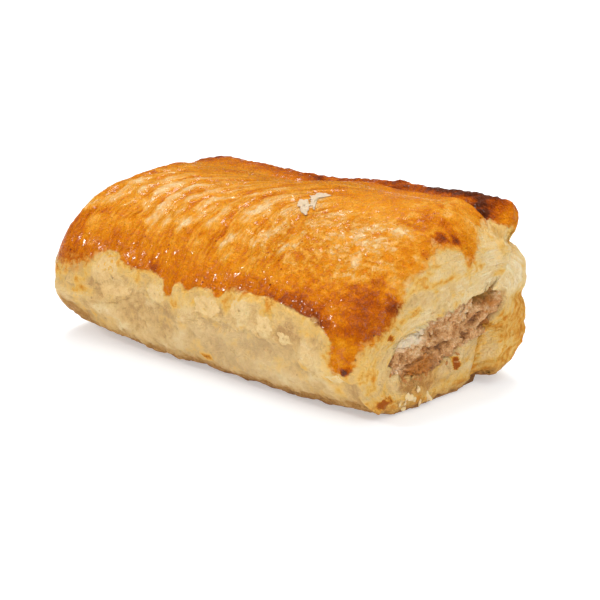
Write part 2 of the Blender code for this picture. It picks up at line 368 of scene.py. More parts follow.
class Crust:
    """The wrap's surface, with what each point needs to know about where it lies."""

    def __init__(self):
        rings = wrap_rings()
        low = rings.min(axis=(0, 1))
        high = rings.max(axis=(0, 1))
        middle = np.array([(low[0] + high[0]) / 2, (low[1] + high[1]) / 2, low[2]])
        frame_sum = [PASTRY_LOW[0] + PASTRY_HIGH[0], PASTRY_LOW[1] + PASTRY_HIGH[1], 0.0]
        frame_middle = np.array(frame_sum) / 2 / MM
        self.shift = frame_middle - middle
        self.base = rings + self.shift
        self.normal = outward(self.base)
        self.measure()
        self.points = self.base.copy()

    def measure(self):
        """Lengths along and round the surface, from the middle of the top."""
        count = len(self.base)
        self.right_lip = ALONG + RIGHT_STEPS - 1
        self.left_lip = count - LEFT_STEPS
        steps = np.linalg.norm(np.roll(self.base, -1, axis=0) - self.base, axis=2)
        half = ALONG // 2
        forward = np.concatenate([np.zeros((1, AROUND)), np.cumsum(steps, axis=0)[:-1]])
        forward = forward - forward[half] + self.base[half, :, 0] - self.shift[0]
        whole = steps.sum(axis=0)
        self.along = forward.copy()
        turn_back = (self.right_lip + self.left_lip) // 2
        self.along[turn_back:] = forward[turn_back:] - whole
        ring = self.base[half]
        widths = np.linalg.norm(np.roll(ring, -1, 0) - ring, axis=1)
        around = np.concatenate([[0.0], np.cumsum(widths)[:-1]])
        top = np.argmin(np.abs(section_angles(AROUND) - math.pi))
        self.around_values = around - around[top]
        self.around = np.broadcast_to(self.around_values, self.along.shape)
        self.to_right_lip = self.along[self.right_lip] - self.along
        self.to_left_lip = self.along - self.along[self.left_lip]
        self.to_nearest_lip = np.minimum(self.to_right_lip, self.to_left_lip)
        row = np.arange(count)[:, None] * np.ones((1, AROUND))
        self.outside = ((row <= self.right_lip) | (row >= self.left_lip)).astype(float)
        first, last = self.around_values[[0, -1]]
        from_join = np.minimum(self.around_values - first, last - self.around_values)
        self.off_seam = ease(0.0, 9.0, from_join)
        self.right_face = ease(0.25, 0.75, self.normal[:, :, 0]) * ease(44.0, 48.0, self.base[:, :, 0])
        self.left_face = ease(0.25, 0.75, -self.normal[:, :, 0]) * ease(-46.0, -50.0, self.base[:, :, 0])

    def place(self, along, around, lift=0.0):
        """Points on the finished surface at lengths along and round it, raised by lift."""
        along, around = np.broadcast_arrays(np.asarray(along, float), np.asarray(around, float))
        columns = np.interp(around, self.around_values, np.arange(AROUND))
        first = np.floor(columns).astype(int)
        last_row = self.right_lip + 1
        found = 0.0
        normal = outward(self.points)
        for column, share in ((first, 1.0 - (columns - first)), ((first + 1) % AROUND, columns - first)):
            pairs = zip(along.flat, column.flat)
            rows = [np.interp(a, self.along[:last_row, c], np.arange(last_row)) for a, c in pairs]
            rows = np.array(rows).reshape(along.shape)
            row = np.floor(rows).astype(int)
            part = (rows - row)[..., None]
            spots = self.points[row, column] * (1.0 - part) + self.points[row + 1, column] * part
            facing = normal[row, column] * (1.0 - part) + normal[row + 1, column] * part
            found = found + (spots + facing * np.asarray(lift)[..., None]) * share[..., None]
        return found


# ---------------------------------------------------------------- where the bake shows
# Lower edge of the egg glaze along the front: length along the roll, length round from the top, where the
# front is below 0.
FRONT_GLAZE_EDGE = (
    (-60.0, -34.0), (-51.0, -37.5), (-44.0, -37.5), (-40.0, -35.8), (-37.0, -34.2), (-35.4, -32.6),
    (-32.6, -32.6), (-30.5, -34.6), (-25.5, -36.0), (-23.5, -35.4), (-20.5, -35.4), (-16.0, -36.0),
    (-10.0, -36.4), (-0.6, -36.0), (5.5, -35.4), (8.2, -34.4), (14.7, -33.6), (22.0, -33.6),
    (28.7, -34.1), (33.5, -34.7), (39.2, -36.4), (42.0, -38.6), (60.0, -40.0),
)
# Lower edge of the glaze on the cut face at the right: across the roll, height.
FACE_GLAZE_EDGE = (
    (-34.0, 9.0), (-29.5, 13.5), (-26.0, 17.5), (-21.0, 22.0), (-18.0, 23.7), (-14.5, 26.6), (-12.0, 29.0),
    (-11.0, 31.4), (-5.0, 33.8), (0.5, 36.6), (2.0, 37.4), (5.0, 37.6), (7.4, 35.5), (8.3, 32.8),
    (10.4, 32.6), (12.4, 35.0), (14.8, 37.2), (17.0, 38.8), (23.0, 39.0), (27.0, 38.0), (34.0, 35.0),
)
# Runs of glaze below the edge: start and end as lengths along and round, and half width.
GLAZE_RUNS = (
    ((47.6, -32.0), (45.6, -45.6), 3.6),
    ((-11.8, -33.0), (-11.8, -38.6), 1.5),
    ((-5.5, -34.0), (-5.4, -36.0), 1.6),
    ((4.6, -33.0), (4.7, -35.2), 2.0),
)
# Thin runs of egg that only tint the pastry: start, end and half width as above, then strength.
FAINT_RUNS = (
    ((-23.5, -35.0), (-23.4, -38.2), 1.3, 0.70),
    ((8.0, -34.0), (8.0, -39.6), 1.6, 0.66),
    ((-38.9, -38.9), (-42.5, -44.3), 0.5, 0.66),
    ((-39.3, -45.2), (-40.6, -48.5), 0.4, 0.60),
    ((31.2, -37.2), (36.3, -42.3), 0.2, 0.50),
    ((-0.8, -54.6), (0.6, -55.0), 1.0, 1.05),
    ((24.0, -35.0), (25.5, -38.0), 1.2, 0.40),
    ((-31.0, -33.8), (-30.0, -36.6), 1.0, 0.45),
)
BACK_GLAZE_EDGE = 41.0
LEFT_GLAZE_EDGE = -57.0
# Where the upper sheet of bare pastry ends on the front: length along the roll, length round from the top.
SHEET_EDGE = (
    (-60.0, -46.0), (-45.0, -50.0), (-39.0, -48.6), (-33.5, -47.3), (-27.7, -44.8), (-23.3, -42.0),
    (-21.0, -39.6), (-16.8, -42.7), (-13.1, -45.2), (-5.2, -46.4), (-1.4, -43.9), (9.5, -44.2),
    (20.2, -44.8), (25.3, -44.2), (29.9, -44.8), (33.0, -49.0), (37.6, -50.8), (45.0, -51.6), (60.0, -52.0),
)
# Broad raised folds across the left half of the top: their places along the roll.
FOLD_PLACES = (-60.0, -53.0, -47.0, -42.0, -37.0, -31.5, -25.0, -19.5, -11.0, -2.5, 7.0, 16.0, 26.0)
# Heights in the leaf grain where one thin leaf of bare pastry steps down to the next.
LEAF_LEVELS = (-0.42, -0.18, 0.06, 0.30, 0.52)
# Patches that baked darker: centre, radius, strength in one row.
DARK_SPOTS = (
    (50.9, 7.3, 38.6, 1.6, 0.40), (50.0, 4.2, 39.6, 2.2, 0.22), (49.8, -2.5, 36.6, 1.3, 0.30),
    (54.4, 9.2, 32.6, 0.9, 0.22), (54.3, -18.8, 20.9, 1.0, 0.55), (46.9, -28.2, 13.0, 1.0, 0.34),
    (48.2, -27.6, 13.8, 0.9, 0.26), (52.5, -15.5, 27.8, 2.6, 0.20), (46.0, 5.0, 41.4, 4.6, 0.14),
    (39.5, 5.2, 42.9, 3.8, 0.10), (-17.5, -28.6, 24.0, 2.2, 0.16), (45.5, -19.0, 30.0, 4.4, 0.17),
)
# Patches of colour on the pale pastry of the cut face: place across the roll, height, radius, strength.
AMBER_SPOTS = (
    (5.3, 9.0, 1.6, 1.08), (6.4, 7.6, 1.2, 1.05), (-20.9, 4.6, 1.2, 1.10), (-18.9, 5.6, 1.5, 0.90),
    (-25.0, 9.6, 2.0, 0.55), (25.0, 12.4, 3.2, 0.42), (19.0, 6.2, 3.6, 0.45), (30.0, 19.0, 3.4, 0.35),
    (12.6, 10.0, 1.6, 0.45), (-12.0, 2.4, 3.0, 0.40), (-3.0, 2.6, 3.0, 0.40), (-18.4, 20.6, 0.8, 0.98),
    (-24.0, 20.0, 4.0, 0.35),
)


def along_edge(points, value):
    """The level of an edge at a place along it."""
    places, levels = np.array(points).T
    return np.interp(value, places, levels)


def run_distance(along, around, start, end, half_width):
    """Signed distance into a rounded run, positive inside."""
    start = np.array(start)
    direction = np.array(end) - start
    offset = np.stack([along, around], -1) - start
    share = np.clip(offset @ direction / (direction @ direction), 0.0, 1.0)
    return half_width - np.linalg.norm(offset - share[..., None] * direction, axis=-1)


def spots(points, wobble, table):
    """Soft irregular patches round the centres in a table, added together."""
    total = 0.0
    for *centre, radius, strength in table:
        distance = np.linalg.norm(points - np.array(centre), axis=-1)
        total = total + strength * ease(1.5, 0.45, distance / radius + 0.5 * wobble)
    return total


def glaze_depth(crust, fray):
    """How far each point lies inside the glaze, in millimetres; below 0 it is bare pastry."""
    along, around = crust.along, crust.around
    edge_height = along_edge(FACE_GLAZE_EDGE, crust.base[:, :, 1])
    front = around - along_edge(FRONT_GLAZE_EDGE, along)
    face = crust.base[:, :, 2] - edge_height + 4.0 * np.maximum(0.0, 46.0 - along)
    depth = np.minimum(front, 0.8 * face)
    depth = np.minimum(depth, BACK_GLAZE_EDGE - around + 6.0 * fray)
    depth = np.minimum(depth, along - LEFT_GLAZE_EDGE)
    for start, end, half_width in GLAZE_RUNS:
        depth = np.maximum(depth, run_distance(along, around, start, end, half_width))
    return depth + fray


def fold_coordinate(along, around):
    """Place along the roll, swept with the folds, and a count of the broad folds, whole on their crests."""
    sweep = -0.1 * around + 0.055 * np.maximum(around + 10.0, 0.0) ** 2
    swept = along - sweep
    return swept, np.interp(swept, FOLD_PLACES, np.arange(len(FOLD_PLACES), dtype=float))


def front_of_end(along):
    """1 along the roll, fading to 0 before its right end."""
    return ease(52.0, 40.0, along)


class Baked:
    """The crust as the oven left it: grain and zones that its relief and the fields of its finish share."""

    def __init__(self, crust):
        self.crust = crust
        self.base = crust.base
        self.x, self.y, self.z = np.moveaxis(crust.base, 2, 0)
        self.along, self.around = crust.along, crust.around
        self.broad, self.middling, self.fine, self.fray, self.layer = (Grain(seed) for seed in CRUST_SEEDS)
        self.wobble = self.middling.layered(self.base, 2.6, 2)
        self.lumps = self.broad.layered(self.base, 17.0, 2)
        self.patchy = self.broad.layered(self.base + 50.0, 6.0, 3, 0.6)
        self.off_ground = ease(0.4, 3.0, self.z)
        self.sides = (1.0 - crust.right_face) * (1.0 - crust.left_face)
        self.find_zones()
        self.relief = self.fold_relief()
        self.add_blisters()
        self.add_bare_leaves()
        self.add_crimp()
        self.add_cut_layers()
        self.add_tuck()
        self.add_lobe()
        # The underside's toasted rim is ragged.
        rim = ease(4.5, 1.0, self.z) * ease(0.05, 0.6, self.z)
        self.relief += rim * 0.45 * self.middling.layered(self.base, 3.2, 2)

    def find_zones(self):
        """Where the glaze lies, how softly it ends, and where the crimp is."""
        crust, wobble, along, around = self.crust, self.wobble, self.along, self.around
        self.glaze = glaze_depth(crust, 0.5 * self.fray.layered(self.base, 4.5, 3))
        # In places the egg thins out slowly, and elsewhere it stops short.
        thin_left = ease(-33.0, -41.0, along + wobble) * ease(-44.0, -38.0, around)
        thin_left = thin_left * ease(10.0, 0.0, around)
        softness = 0.55 + 1.6 * ease(0.0, 0.7, self.patchy) + 2.6 * thin_left + 0.9 * crust.right_face
        self.into_glaze = self.glaze / softness
        self.glazed = ease(-0.6, 0.6, self.into_glaze)
        self.front = ease(25.0, 15.0, around)
        self.crimp_place = around + 5.0 * ease(-10.0, -45.0, along)
        crimped = ease(19.0, 24.0, self.crimp_place) * ease(38.5, 35.0, around)
        self.crimped = crimped * (1.0 - crust.right_face * ease(39.0, 36.0, self.z))
        light = ease(-29.0, -20.0, around + 2.0 * wobble) * ease(9.0, -4.0, around + 2.0 * wobble)
        self.light_zone = light * ease(49.0, 41.0, along + 2.0 * wobble)

    def fold_relief(self):
        """Broad folds across the left half of the top, broken up, with fine creases between them."""
        wobble, along, around = self.wobble, self.along, self.around
        bent = along + 0.5 * wobble + 1.5 * self.broad.at(self.base, 9.0)
        self.swept, count = fold_coordinate(bent, around)
        self.crest = np.abs(np.cos(math.pi * count))
        breaks = self.middling.layered(flat(count * 1.9, around / 5.0, 3.0), 1.0, 2)
        self.broken = ease(-0.55, 0.35, breaks)
        fold_zone = ease(-30.0, -20.0, around + 2.5 * wobble) * ease(26.0, 4.0, along + 4.0 * wobble)
        self.strong_fold = fold_zone * ease(6.0, -3.0, around + 2.0 * wobble)
        self.soft_fold = fold_zone * ease(24.0, 10.0, around)
        self.crease = 1.0 - 2.4 * np.abs(self.fine.at(flat(self.swept / 1.5, around / 9.0)))
        self.crease_zone = ease(30.0, 4.0, along) * ease(-36.0, -24.0, around) * ease(26.0, 12.0, around)
        strong = self.strong_fold * 0.50 * (self.crest**0.8 - 0.62) * (0.35 + 0.8 * self.broken)
        folds = strong + self.soft_fold * 0.15 * (self.crest - 0.6)
        return folds + self.crease_zone * 0.22 * self.crease

    def add_blisters(self):
        """Lumps all over, and the glaze's grainy blisters."""
        along, around = self.along, self.around
        blisters = self.fine.layered(self.base, 2.1, 3, 0.62)
        zone = np.maximum(ease(4.0, -6.0, around), ease(30.0, 40.0, along))
        self.blister_zone = self.glazed * zone * self.front
        self.relief += 0.45 * self.lumps * self.off_ground
        strength = 0.05 + 0.13 * self.blister_zone * ease(-10.0, 15.0, along) + 0.05 * self.blister_zone
        self.relief += blisters * strength

    def add_bare_leaves(self):
        """Bare pastry: the upper sheet ends in a torn edge, and thin leaves step down from it."""
        base, wobble = self.base, self.wobble
        self.bare = (1.0 - self.glazed) * (1.0 - self.crust.right_face) * (1.0 - self.crust.left_face)
        sheet = self.around - along_edge(SHEET_EDGE, self.along) + 1.0 * self.fray.layered(base, 3.4, 3)
        back_sheet = 58.0 + 3.0 * self.broad.layered(base, 9.0, 2) - self.around
        self.sheet = np.where(self.around < 0, sheet, back_sheet)
        self.upper = ease(-0.25, 0.35, self.sheet)
        warped = base * (0.8, 1.0, 1.3) + 1.2 * np.stack([wobble, wobble[::-1], wobble[:, ::-1]], -1)
        self.leaf = self.layer.layered(warped, 7.5, 3, 0.5)
        steps = sum(ease(level - 0.035, level + 0.035, self.leaf) for level in LEAF_LEVELS)
        self.steps = steps - len(LEAF_LEVELS) / 2
        self.relief += self.bare * self.off_ground * (0.55 * (self.upper - 0.5) + 0.20 * self.steps)
        self.relief += self.bare * 0.05 * self.middling.at(base, 3.0)

    def add_crimp(self):
        """The crimp is pinched unevenly, and a crease runs along its foot."""
        along, around, wobble = self.along, self.around, self.wobble
        self.pinch = self.fine.at(flat(along / 1.5 + 0.6 * wobble, around / 6.0))
        self.rolls = self.middling.at(flat(along / 3.4 - 0.35 * around, around / 9.0))
        self.relief += self.crimped * (0.32 * self.pinch + 0.34 * self.rolls)
        self.groove = hump(self.crimp_place, 23.4 + 0.5 * wobble, 0.9) * ease(-44.0, -20.0, along)
        self.relief -= self.groove * 0.55 * front_of_end(along)

    def add_cut_layers(self):
        """Pulled layers that follow the torn edge of each cut face."""
        crust, layer, around = self.crust, self.layer, self.around
        inward = crust.to_right_lip + 0.8 * self.wobble
        pulled = layer.at(flat(inward / 1.5, around / 9.0))
        pulled = pulled + 0.8 * layer.at(flat(inward / 3.0, around / 14.0, 7.0))
        self.pulled = pulled * crust.off_seam
        right = crust.right_face * (1.0 - self.glazed) * 0.26
        self.relief += right * self.pulled * ease(30.0, 16.0, inward)
        pulled_left = layer.at(flat((crust.to_left_lip + 0.8 * self.wobble) / 1.5, around / 9.0, 5.0))
        self.relief += crust.left_face * (1.0 - self.glazed) * 0.30 * pulled_left

    def add_tuck(self):
        """The fold where the wrap tucks under at the right end, with its notches."""
        x, y, z = self.x, self.y, self.z
        tuck = hump(y, tuck_line(z) + 0.5 * self.wobble, 0.9) * ease(18.5, 15.0, z)
        self.tuck = tuck * ease(43.0, 50.0, x)
        notch = hump(y, 14.6, 1.6) * ease(8.0, 2.0, z) * ease(40.0, 50.0, x)
        side_notch = hump(z, 20.4 + 0.2 * (30.0 - y), 1.4) * ease(21.0, 27.0, y) * ease(40.0, 51.0, x)
        self.relief -= 1.0 * self.tuck + 2.2 * notch + 1.1 * side_notch
        self.relief -= 1.0 * hump(z, 35.5, 2.0) * ease(22.0, 28.0, y) * ease(46.0, 52.0, x)

    def add_lobe(self):
        """Shelves where the sheets part on the lobe, and the sharp shoulder that follows the glaze."""
        y, z, wobble, face = self.y, self.z, self.wobble, self.crust.right_face
        self.shelves = self.layer.at(flat(z / 2.6 + 0.6 * wobble, y / 12.0, 2.0)) * ease(14.0, 18.0, y)
        self.relief += face * 0.5 * self.shelves * ease(34.0, 30.0, z)
        rough = self.middling.layered(self.base, 3.0, 3, 0.6)
        self.relief += face * 0.45 * rough * ease(10.0, 6.0, z) * ease(14.0, 11.0, y)
        streak = hump(z, 30.4 + 0.07 * y + 0.3 * wobble, 0.7) * ease(-10.0, -6.0, y) * ease(7.0, 4.5, y)
        self.streak = streak * face
        self.relief += 0.25 * self.streak

    def bake(self):
        """How brown the glaze baked: 0 is pale gold, 1 is burnt; the crests of the folds and the ridges of
        the creases are painted lighter, a painted highlight.
        """
        along, around, wobble, front = self.along, self.around, self.wobble, self.front
        back = ease(-8.0, 6.0, around) * 0.07
        bake = 0.47 + 0.03 * self.lumps + 0.07 * self.patchy + back * ease(46.0, 30.0, along) * front
        marbled = self.broad.layered(self.base + 20.0, 5.0, 4, 0.65)
        marbled = 0.19 * ease(26.0, 40.0, along) * ease(-0.1, 0.6, marbled)
        bake -= marbled * ease(-24.0, -17.0, around) * front
        peach = self.broad.layered(flat(self.swept / 6.5, around / 8.0, 4.0), 1.0, 4, 0.62)
        bake -= self.light_zone * (0.03 + 0.15 * ease(-0.05, 0.45, peach))
        bake += 0.10 * ease(-19.0, -27.0, around + 2.0 * wobble)
        edge_band = ease(5.5, 0.4, self.glaze + 1.2 * wobble) * ease(-18.0, -26.0, around)
        bake += edge_band * (0.04 + 0.18 * hump(along, 32.0, 15.0) + 0.12 * hump(along, -24.0, 5.0))
        bake += 0.10 * ease(40.0, 48.0, along) * ease(-0.6, 0.6, wobble + 0.3) * front
        bake += 0.13 * ease(-43.0, -53.0, along + wobble)
        bake += self.crimp_bake()
        # Darker along the groove sunk at the crimp's foot; the colour follows the groove.
        bake += 0.14 * self.groove * ease(-30.0, 0.0, along)
        # Painted highlight: the crests of the broad folds and the ridges of the fine creases are made
        # lighter.
        bake -= self.strong_fold * (0.30 * self.crest**1.5 * self.broken - 0.11)
        bake -= 0.07 * self.soft_fold * (self.crest - 0.5)
        bake -= 0.09 * self.crease_zone * (self.crease - 0.15)
        bake -= 0.03 * self.blister_zone * np.tanh(2.0 * self.fine.layered(self.base, 1.9, 2))
        bake += spots(self.base, wobble, DARK_SPOTS)
        bake -= 0.06 * ease(1.6, 0.0, self.glaze) * self.crust.right_face
        bake -= 0.16 * ease(-36.0, -39.5, around) * ease(38.0, 42.0, along)
        return bake + 0.05 * ease(-26.0, -31.0, around + 1.5 * wobble) * ease(-38.0, -35.0, around)

    def crimp_bake(self):
        """How much browner the crimp and the valley before it are, burnt near the right end."""
        along, around, wobble = self.along, self.around, self.wobble
        brown = (0.55 + 0.45 * ease(-32.0, 0.0, along)) * (1.0 - 0.7 * ease(44.0, 51.0, along))
        valley = 0.10 * brown * ease(17.0, 21.0, around + wobble) * ease(26.0, 22.0, around)
        uneven = 0.10 * self.pinch + 0.12 * self.rolls + 0.05 * wobble
        top = self.crimped * brown * (0.29 + 0.08 * ease(25.0, 27.0, around) + uneven)
        burnt = hump(along, 35.0, 10.0) * ease(25.5, 29.0, around + wobble)
        burnt = burnt + 0.9 * hump(along, 43.0, 4.0) * hump(around, 25.0, 2.5)
        burnt = self.crimped * 0.38 * burnt * ease(-0.9, 0.3, wobble)
        return valley * front_of_end(along) + top + burnt

    def mottle(self):
        """Where the glaze is finely mottled."""
        zone = self.blister_zone * ease(0.0, 14.0, self.along + 4.0 * self.wobble)
        return zone * (0.35 + 0.65 * self.light_zone)

    def tone(self):
        """How light the bare pastry is, on the sides and on the cut faces, with thin painted shadow lines
        below the upper sheet's torn edge and along one step between leaves.
        """
        y, z, patchy, wobble = self.y, self.z, self.patchy, self.wobble
        upper, bare = self.upper, self.bare
        tone = 0.16 * self.steps + 0.18 * (upper - 0.9) + 0.34 * patchy + 0.12 * wobble
        tone -= 0.20 * (1.0 - upper) * hump(self.along, 8.0, 26.0)
        tone -= 0.24 * upper * bare * (0.7 + 0.5 * ease(20.0, -20.0, self.along))
        # Painted shadow: a thin dark line just below the torn edge of the upper sheet, in patches.
        tone -= 0.85 * hump(self.sheet, -0.30, 0.28) * ease(-0.25, 0.35, self.egg_and_shadow_patches()) * bare
        # Painted shadow: a thin dark line along one step between leaves.
        tone -= 0.55 * hump(self.leaf, 0.06, 0.018) * ease(0.0, 0.4, patchy) * bare
        light = 0.30 * ease(0.0, 14.0, y) * ease(20.0, 27.0, z) - 0.26 * ease(-14.0, -24.0, y)
        face = 0.12 + light + 0.22 * self.pulled + 0.32 * patchy + 0.12 * wobble
        return tone * self.sides + (1.0 - self.sides) * face

    def egg_and_shadow_patches(self):
        """Uneven patches: egg colour on the bare pastry, and where the painted shadow line below the upper
        sheet shows.
        """
        return self.broad.layered(self.base + 90.0, 4.5, 3, 0.6)

    def face_spots(self):
        """Spots of colour on the right cut face."""
        wobble = self.wobble + 0.9 * self.fine.layered(self.base, 1.1, 2)
        return spots(self.base[..., 1:], wobble, AMBER_SPOTS) * self.crust.right_face

    def amber(self):
        """How amber the bare pastry is: spots, thin runs of egg, and a tint that fades from the glaze."""
        amber = np.maximum(self.face_spots(), 0.75 * self.streak)
        for start, end, half_width, strength in FAINT_RUNS:
            inside = run_distance(self.along, self.around, start, end, half_width) + 0.4 * self.wobble
            amber = np.maximum(amber, strength * ease(-1.4, 1.4, inside))
        return np.maximum(amber, np.minimum(self.tint(), 0.72))

    def tint(self):
        """A faint amber tint over the bare pastry."""
        y, z, face, patchy = self.y, self.z, self.crust.right_face, self.patchy
        tint = 0.42 * ease(-7.0, -0.5, self.glaze + 2.5 * patchy) * (1.0 - 0.3 * face)
        edge = 0.20 * hump(self.sheet, 0.6, 0.8) * ease(-0.2, 0.5, patchy)
        tint += edge * self.bare + 0.30 * ease(0.05, 0.7, self.egg_and_shadow_patches())
        tint += 0.80 * self.tuck + 0.34 * face * ease(-0.1, 0.8, self.pulled) * ease(25.0, 15.0, y)
        lobe = face * ease(14.0, 20.0, y) * ease(25.0, 18.0, z)
        tint += lobe * (0.40 + 0.45 * ease(-0.3, 0.6, self.shelves + 0.5 * patchy))
        tint += 0.35 * face * ease(22.0, 30.0, y) * ease(-0.5, 0.5, patchy + 0.3)
        tint += face * (0.18 * ease(-12.0, -22.0, y) + 0.48 * ease(9.0, 3.0, z + self.wobble))
        return tint + 0.34 * ease(-33.0, -42.0, self.along) * ease(-0.5, 0.4, patchy) * self.sides

    def damp(self):
        """Where the lower front is damp and grey."""
        damp = (1.0 - self.upper) * hump(self.along, 12.0, 24.0)
        return damp * ease(0.0, -10.0, self.around) * self.sides

    def toast(self):
        """How toasted the pastry is round its base."""
        x, y, z, wobble = self.x, self.y, self.z, self.wobble
        low = ease(5.4, 0.8, z + 1.1 * wobble) * self.crust.outside
        toast = 0.95 * low * (1.0 - 0.5 * self.crust.right_face)
        rim_start = -54.0 + 6.0 * ease(-36.0, -52.0, self.along) + 1.2 * wobble
        rim = 0.72 * ease(0.0, -5.0, self.around - rim_start) * (self.around < 0) * self.sides
        lobe = 0.66 * ease(14.0, 17.0, y) * ease(5.0, 2.0, z + wobble) * ease(38.0, 46.0, x)
        foot = 0.9 * ease(47.0, 51.0, x) * ease(2.4, 0.6, z + 0.7 * wobble)
        return np.maximum.reduce([toast, rim, lobe, foot])

    def skin(self):
        """Where the pastry is so thin that the meat's colour comes through."""
        y, z = self.y, self.z
        covered = self.crust.right_face * ease(0.3, 1.6, mouth_cover(self.crust))
        skin = covered * ease(14.0, 11.0, y) * ease(19.0, 16.0, z) * ease(0.9, 0.6, self.face_spots())
        return skin * (0.25 + 0.75 * ease(2.0, -5.0, y + 2.0 * self.wobble))

    def creased(self):
        """How strongly the fine creases show, in relief and in the painted highlight on their ridges."""
        creased = (0.14 + 0.3 * ease(12.0, -12.0, self.along)) * ease(27.0, 22.0, self.around)
        return np.maximum(0.8 * self.crease_zone, creased * (1.0 - self.crust.right_face))

    def fields(self):
        """A value at each point for everything that the crust's finish reads."""
        crust = self.crust
        return {
            "glaze": self.into_glaze,
            "bake": self.bake(),
            "mottle": self.mottle(),
            "tone": self.tone(),
            "amber": self.amber(),
            "damp": self.damp(),
            "toast": self.toast(),
            "skin": self.skin(),
            "from_lip": np.maximum(0.0, crust.to_nearest_lip),
            "round": self.around,
            "face": np.maximum(crust.right_face, crust.left_face) * crust.off_seam,
            "swept": self.swept,
            "creased": self.creased(),
            "shine": 1.0 - 0.8 * ease(34.0, 43.0, self.along) * ease(-20.0, -8.0, self.around),
        }


def bake_crust(crust):
    """Moves the crust's points by its relief, and returns the fields that its finish reads."""
    baked = Baked(crust)
    crust.points = crust.base + crust.normal * (baked.relief * crust.outside)[:, :, None]
    shape_mouth(crust, baked.fine)
    lift_back_lobe(crust)
    height = np.maximum(crust.points[:, :, 2], 0.0)
    crust.points[:, :, 2] = np.where(crust.base[:, :, 2] < ON_GROUND, 0.0, height)
    return baked.fields()


def mouth_cover(crust):
    """How far a point on the right face lies inside the channel's outline, in mm: skin over the meat."""
    y = crust.base[:, :, 1] - crust.shift[1] - CHANNEL_CENTRE[0]
    z = crust.base[:, :, 2] - CHANNEL_CENTRE[1]
    along = math.cos(CHANNEL_TILT) * y + math.sin(CHANNEL_TILT) * z
    above = -math.sin(CHANNEL_TILT) * y + math.cos(CHANNEL_TILT) * z
    half_height = np.where(above < 0, CHANNEL_BELOW + 3.5, CHANNEL_ABOVE)
    return half_height * (1.0 - np.hypot(along / CHANNEL_HALF_WIDTH, above / half_height))


def shape_mouth(crust, grain):
    """Tears the edge of pastry round the meat: ragged, thin, and pulled out of line in places."""
    for lip_row, distance, side in (
        (crust.right_lip, crust.to_right_lip, 1.0),
        (crust.left_lip, crust.to_left_lip, -1.0),
    ):
        middle = crust.points[lip_row].mean(axis=0)
        near = np.exp(-((distance / 1.6) ** 2)) * (np.abs(distance) < 8.0)
        ragged = grain.layered(flat(crust.around / 7.0, 0.0, 9.0 * side), 1.0, 4, 0.7)
        inwards = middle - crust.points
        inwards[:, :, 0] = 0.0
        inwards = inwards / np.maximum(np.linalg.norm(inwards, axis=2, keepdims=True), 1.0)
        crust.points += inwards * (near * crust.off_seam * 1.3 * ragged)[:, :, None]
        pulled = grain.layered(flat(crust.around / 4.0, 3.0, 4.0 * side), 1.0, 2)
        crust.points[:, :, 0] += side * near * crust.off_seam * 0.6 * pulled


def lift_back_lobe(crust):
    """Raises the lower corner of the lobe behind the tuck, which curls off the tray."""
    x, y, z = np.moveaxis(crust.points, 2, 0)
    floor = 1.9 * ease(39.0, 53.0, x) * ease(13.6, 17.0, y)
    raised = np.where(z < 12.0, floor + z * (12.0 - floor) / 12.0, z)
    crust.points[:, :, 2] = raised


# ---------------------------------------------------------------- meshes
def ring_faces(ring_count, around, closed):
    """Quads between neighbouring rings; closed also joins the last ring to the first."""
    rows = ring_count if closed else ring_count - 1
    ring, place = np.meshgrid(np.arange(rows), np.arange(around), indexing="ij")
    following = (ring + 1) % ring_count
    beside = (place + 1) % around
    here, there = ring * around, following * around
    corners = [here + place, there + place, there + beside, here + beside]
    return np.stack(corners, -1).reshape(-1, 4).tolist()


def add_piece(name, points, faces, material, fields=None):
    """Makes a smooth-shaded object from points in millimetres, with a value at each for each field."""
    mesh = bpy.data.meshes.new(name)
    mesh.from_pydata((np.asarray(points, float).reshape(-1, 3) * MM).tolist(), [], faces)
    for field, values in (fields or {}).items():
        attribute = mesh.attributes.new(field, "FLOAT", "POINT")
        attribute.data.foreach_set("value", np.asarray(values, np.float32).ravel())
    mesh.materials.append(material)
    mesh.shade_smooth()
    piece = bpy.data.objects.new(name, mesh)
    bpy.context.scene.collection.objects.link(piece)
    return piece


def carry(piece, slot, *nodes):
    """Every piece rides on the roll's one body and may stand for solids; the slot is not used."""
    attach(piece, BODY)
    if nodes:
        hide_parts(*nodes)


# ---------------------------------------------------------------- finishes
# The colour sockets of a mix node: its share, its two colours and its result.
MIX_SHARE, MIX_FIRST, MIX_SECOND, MIX_RESULT = 0, 6, 7, 2


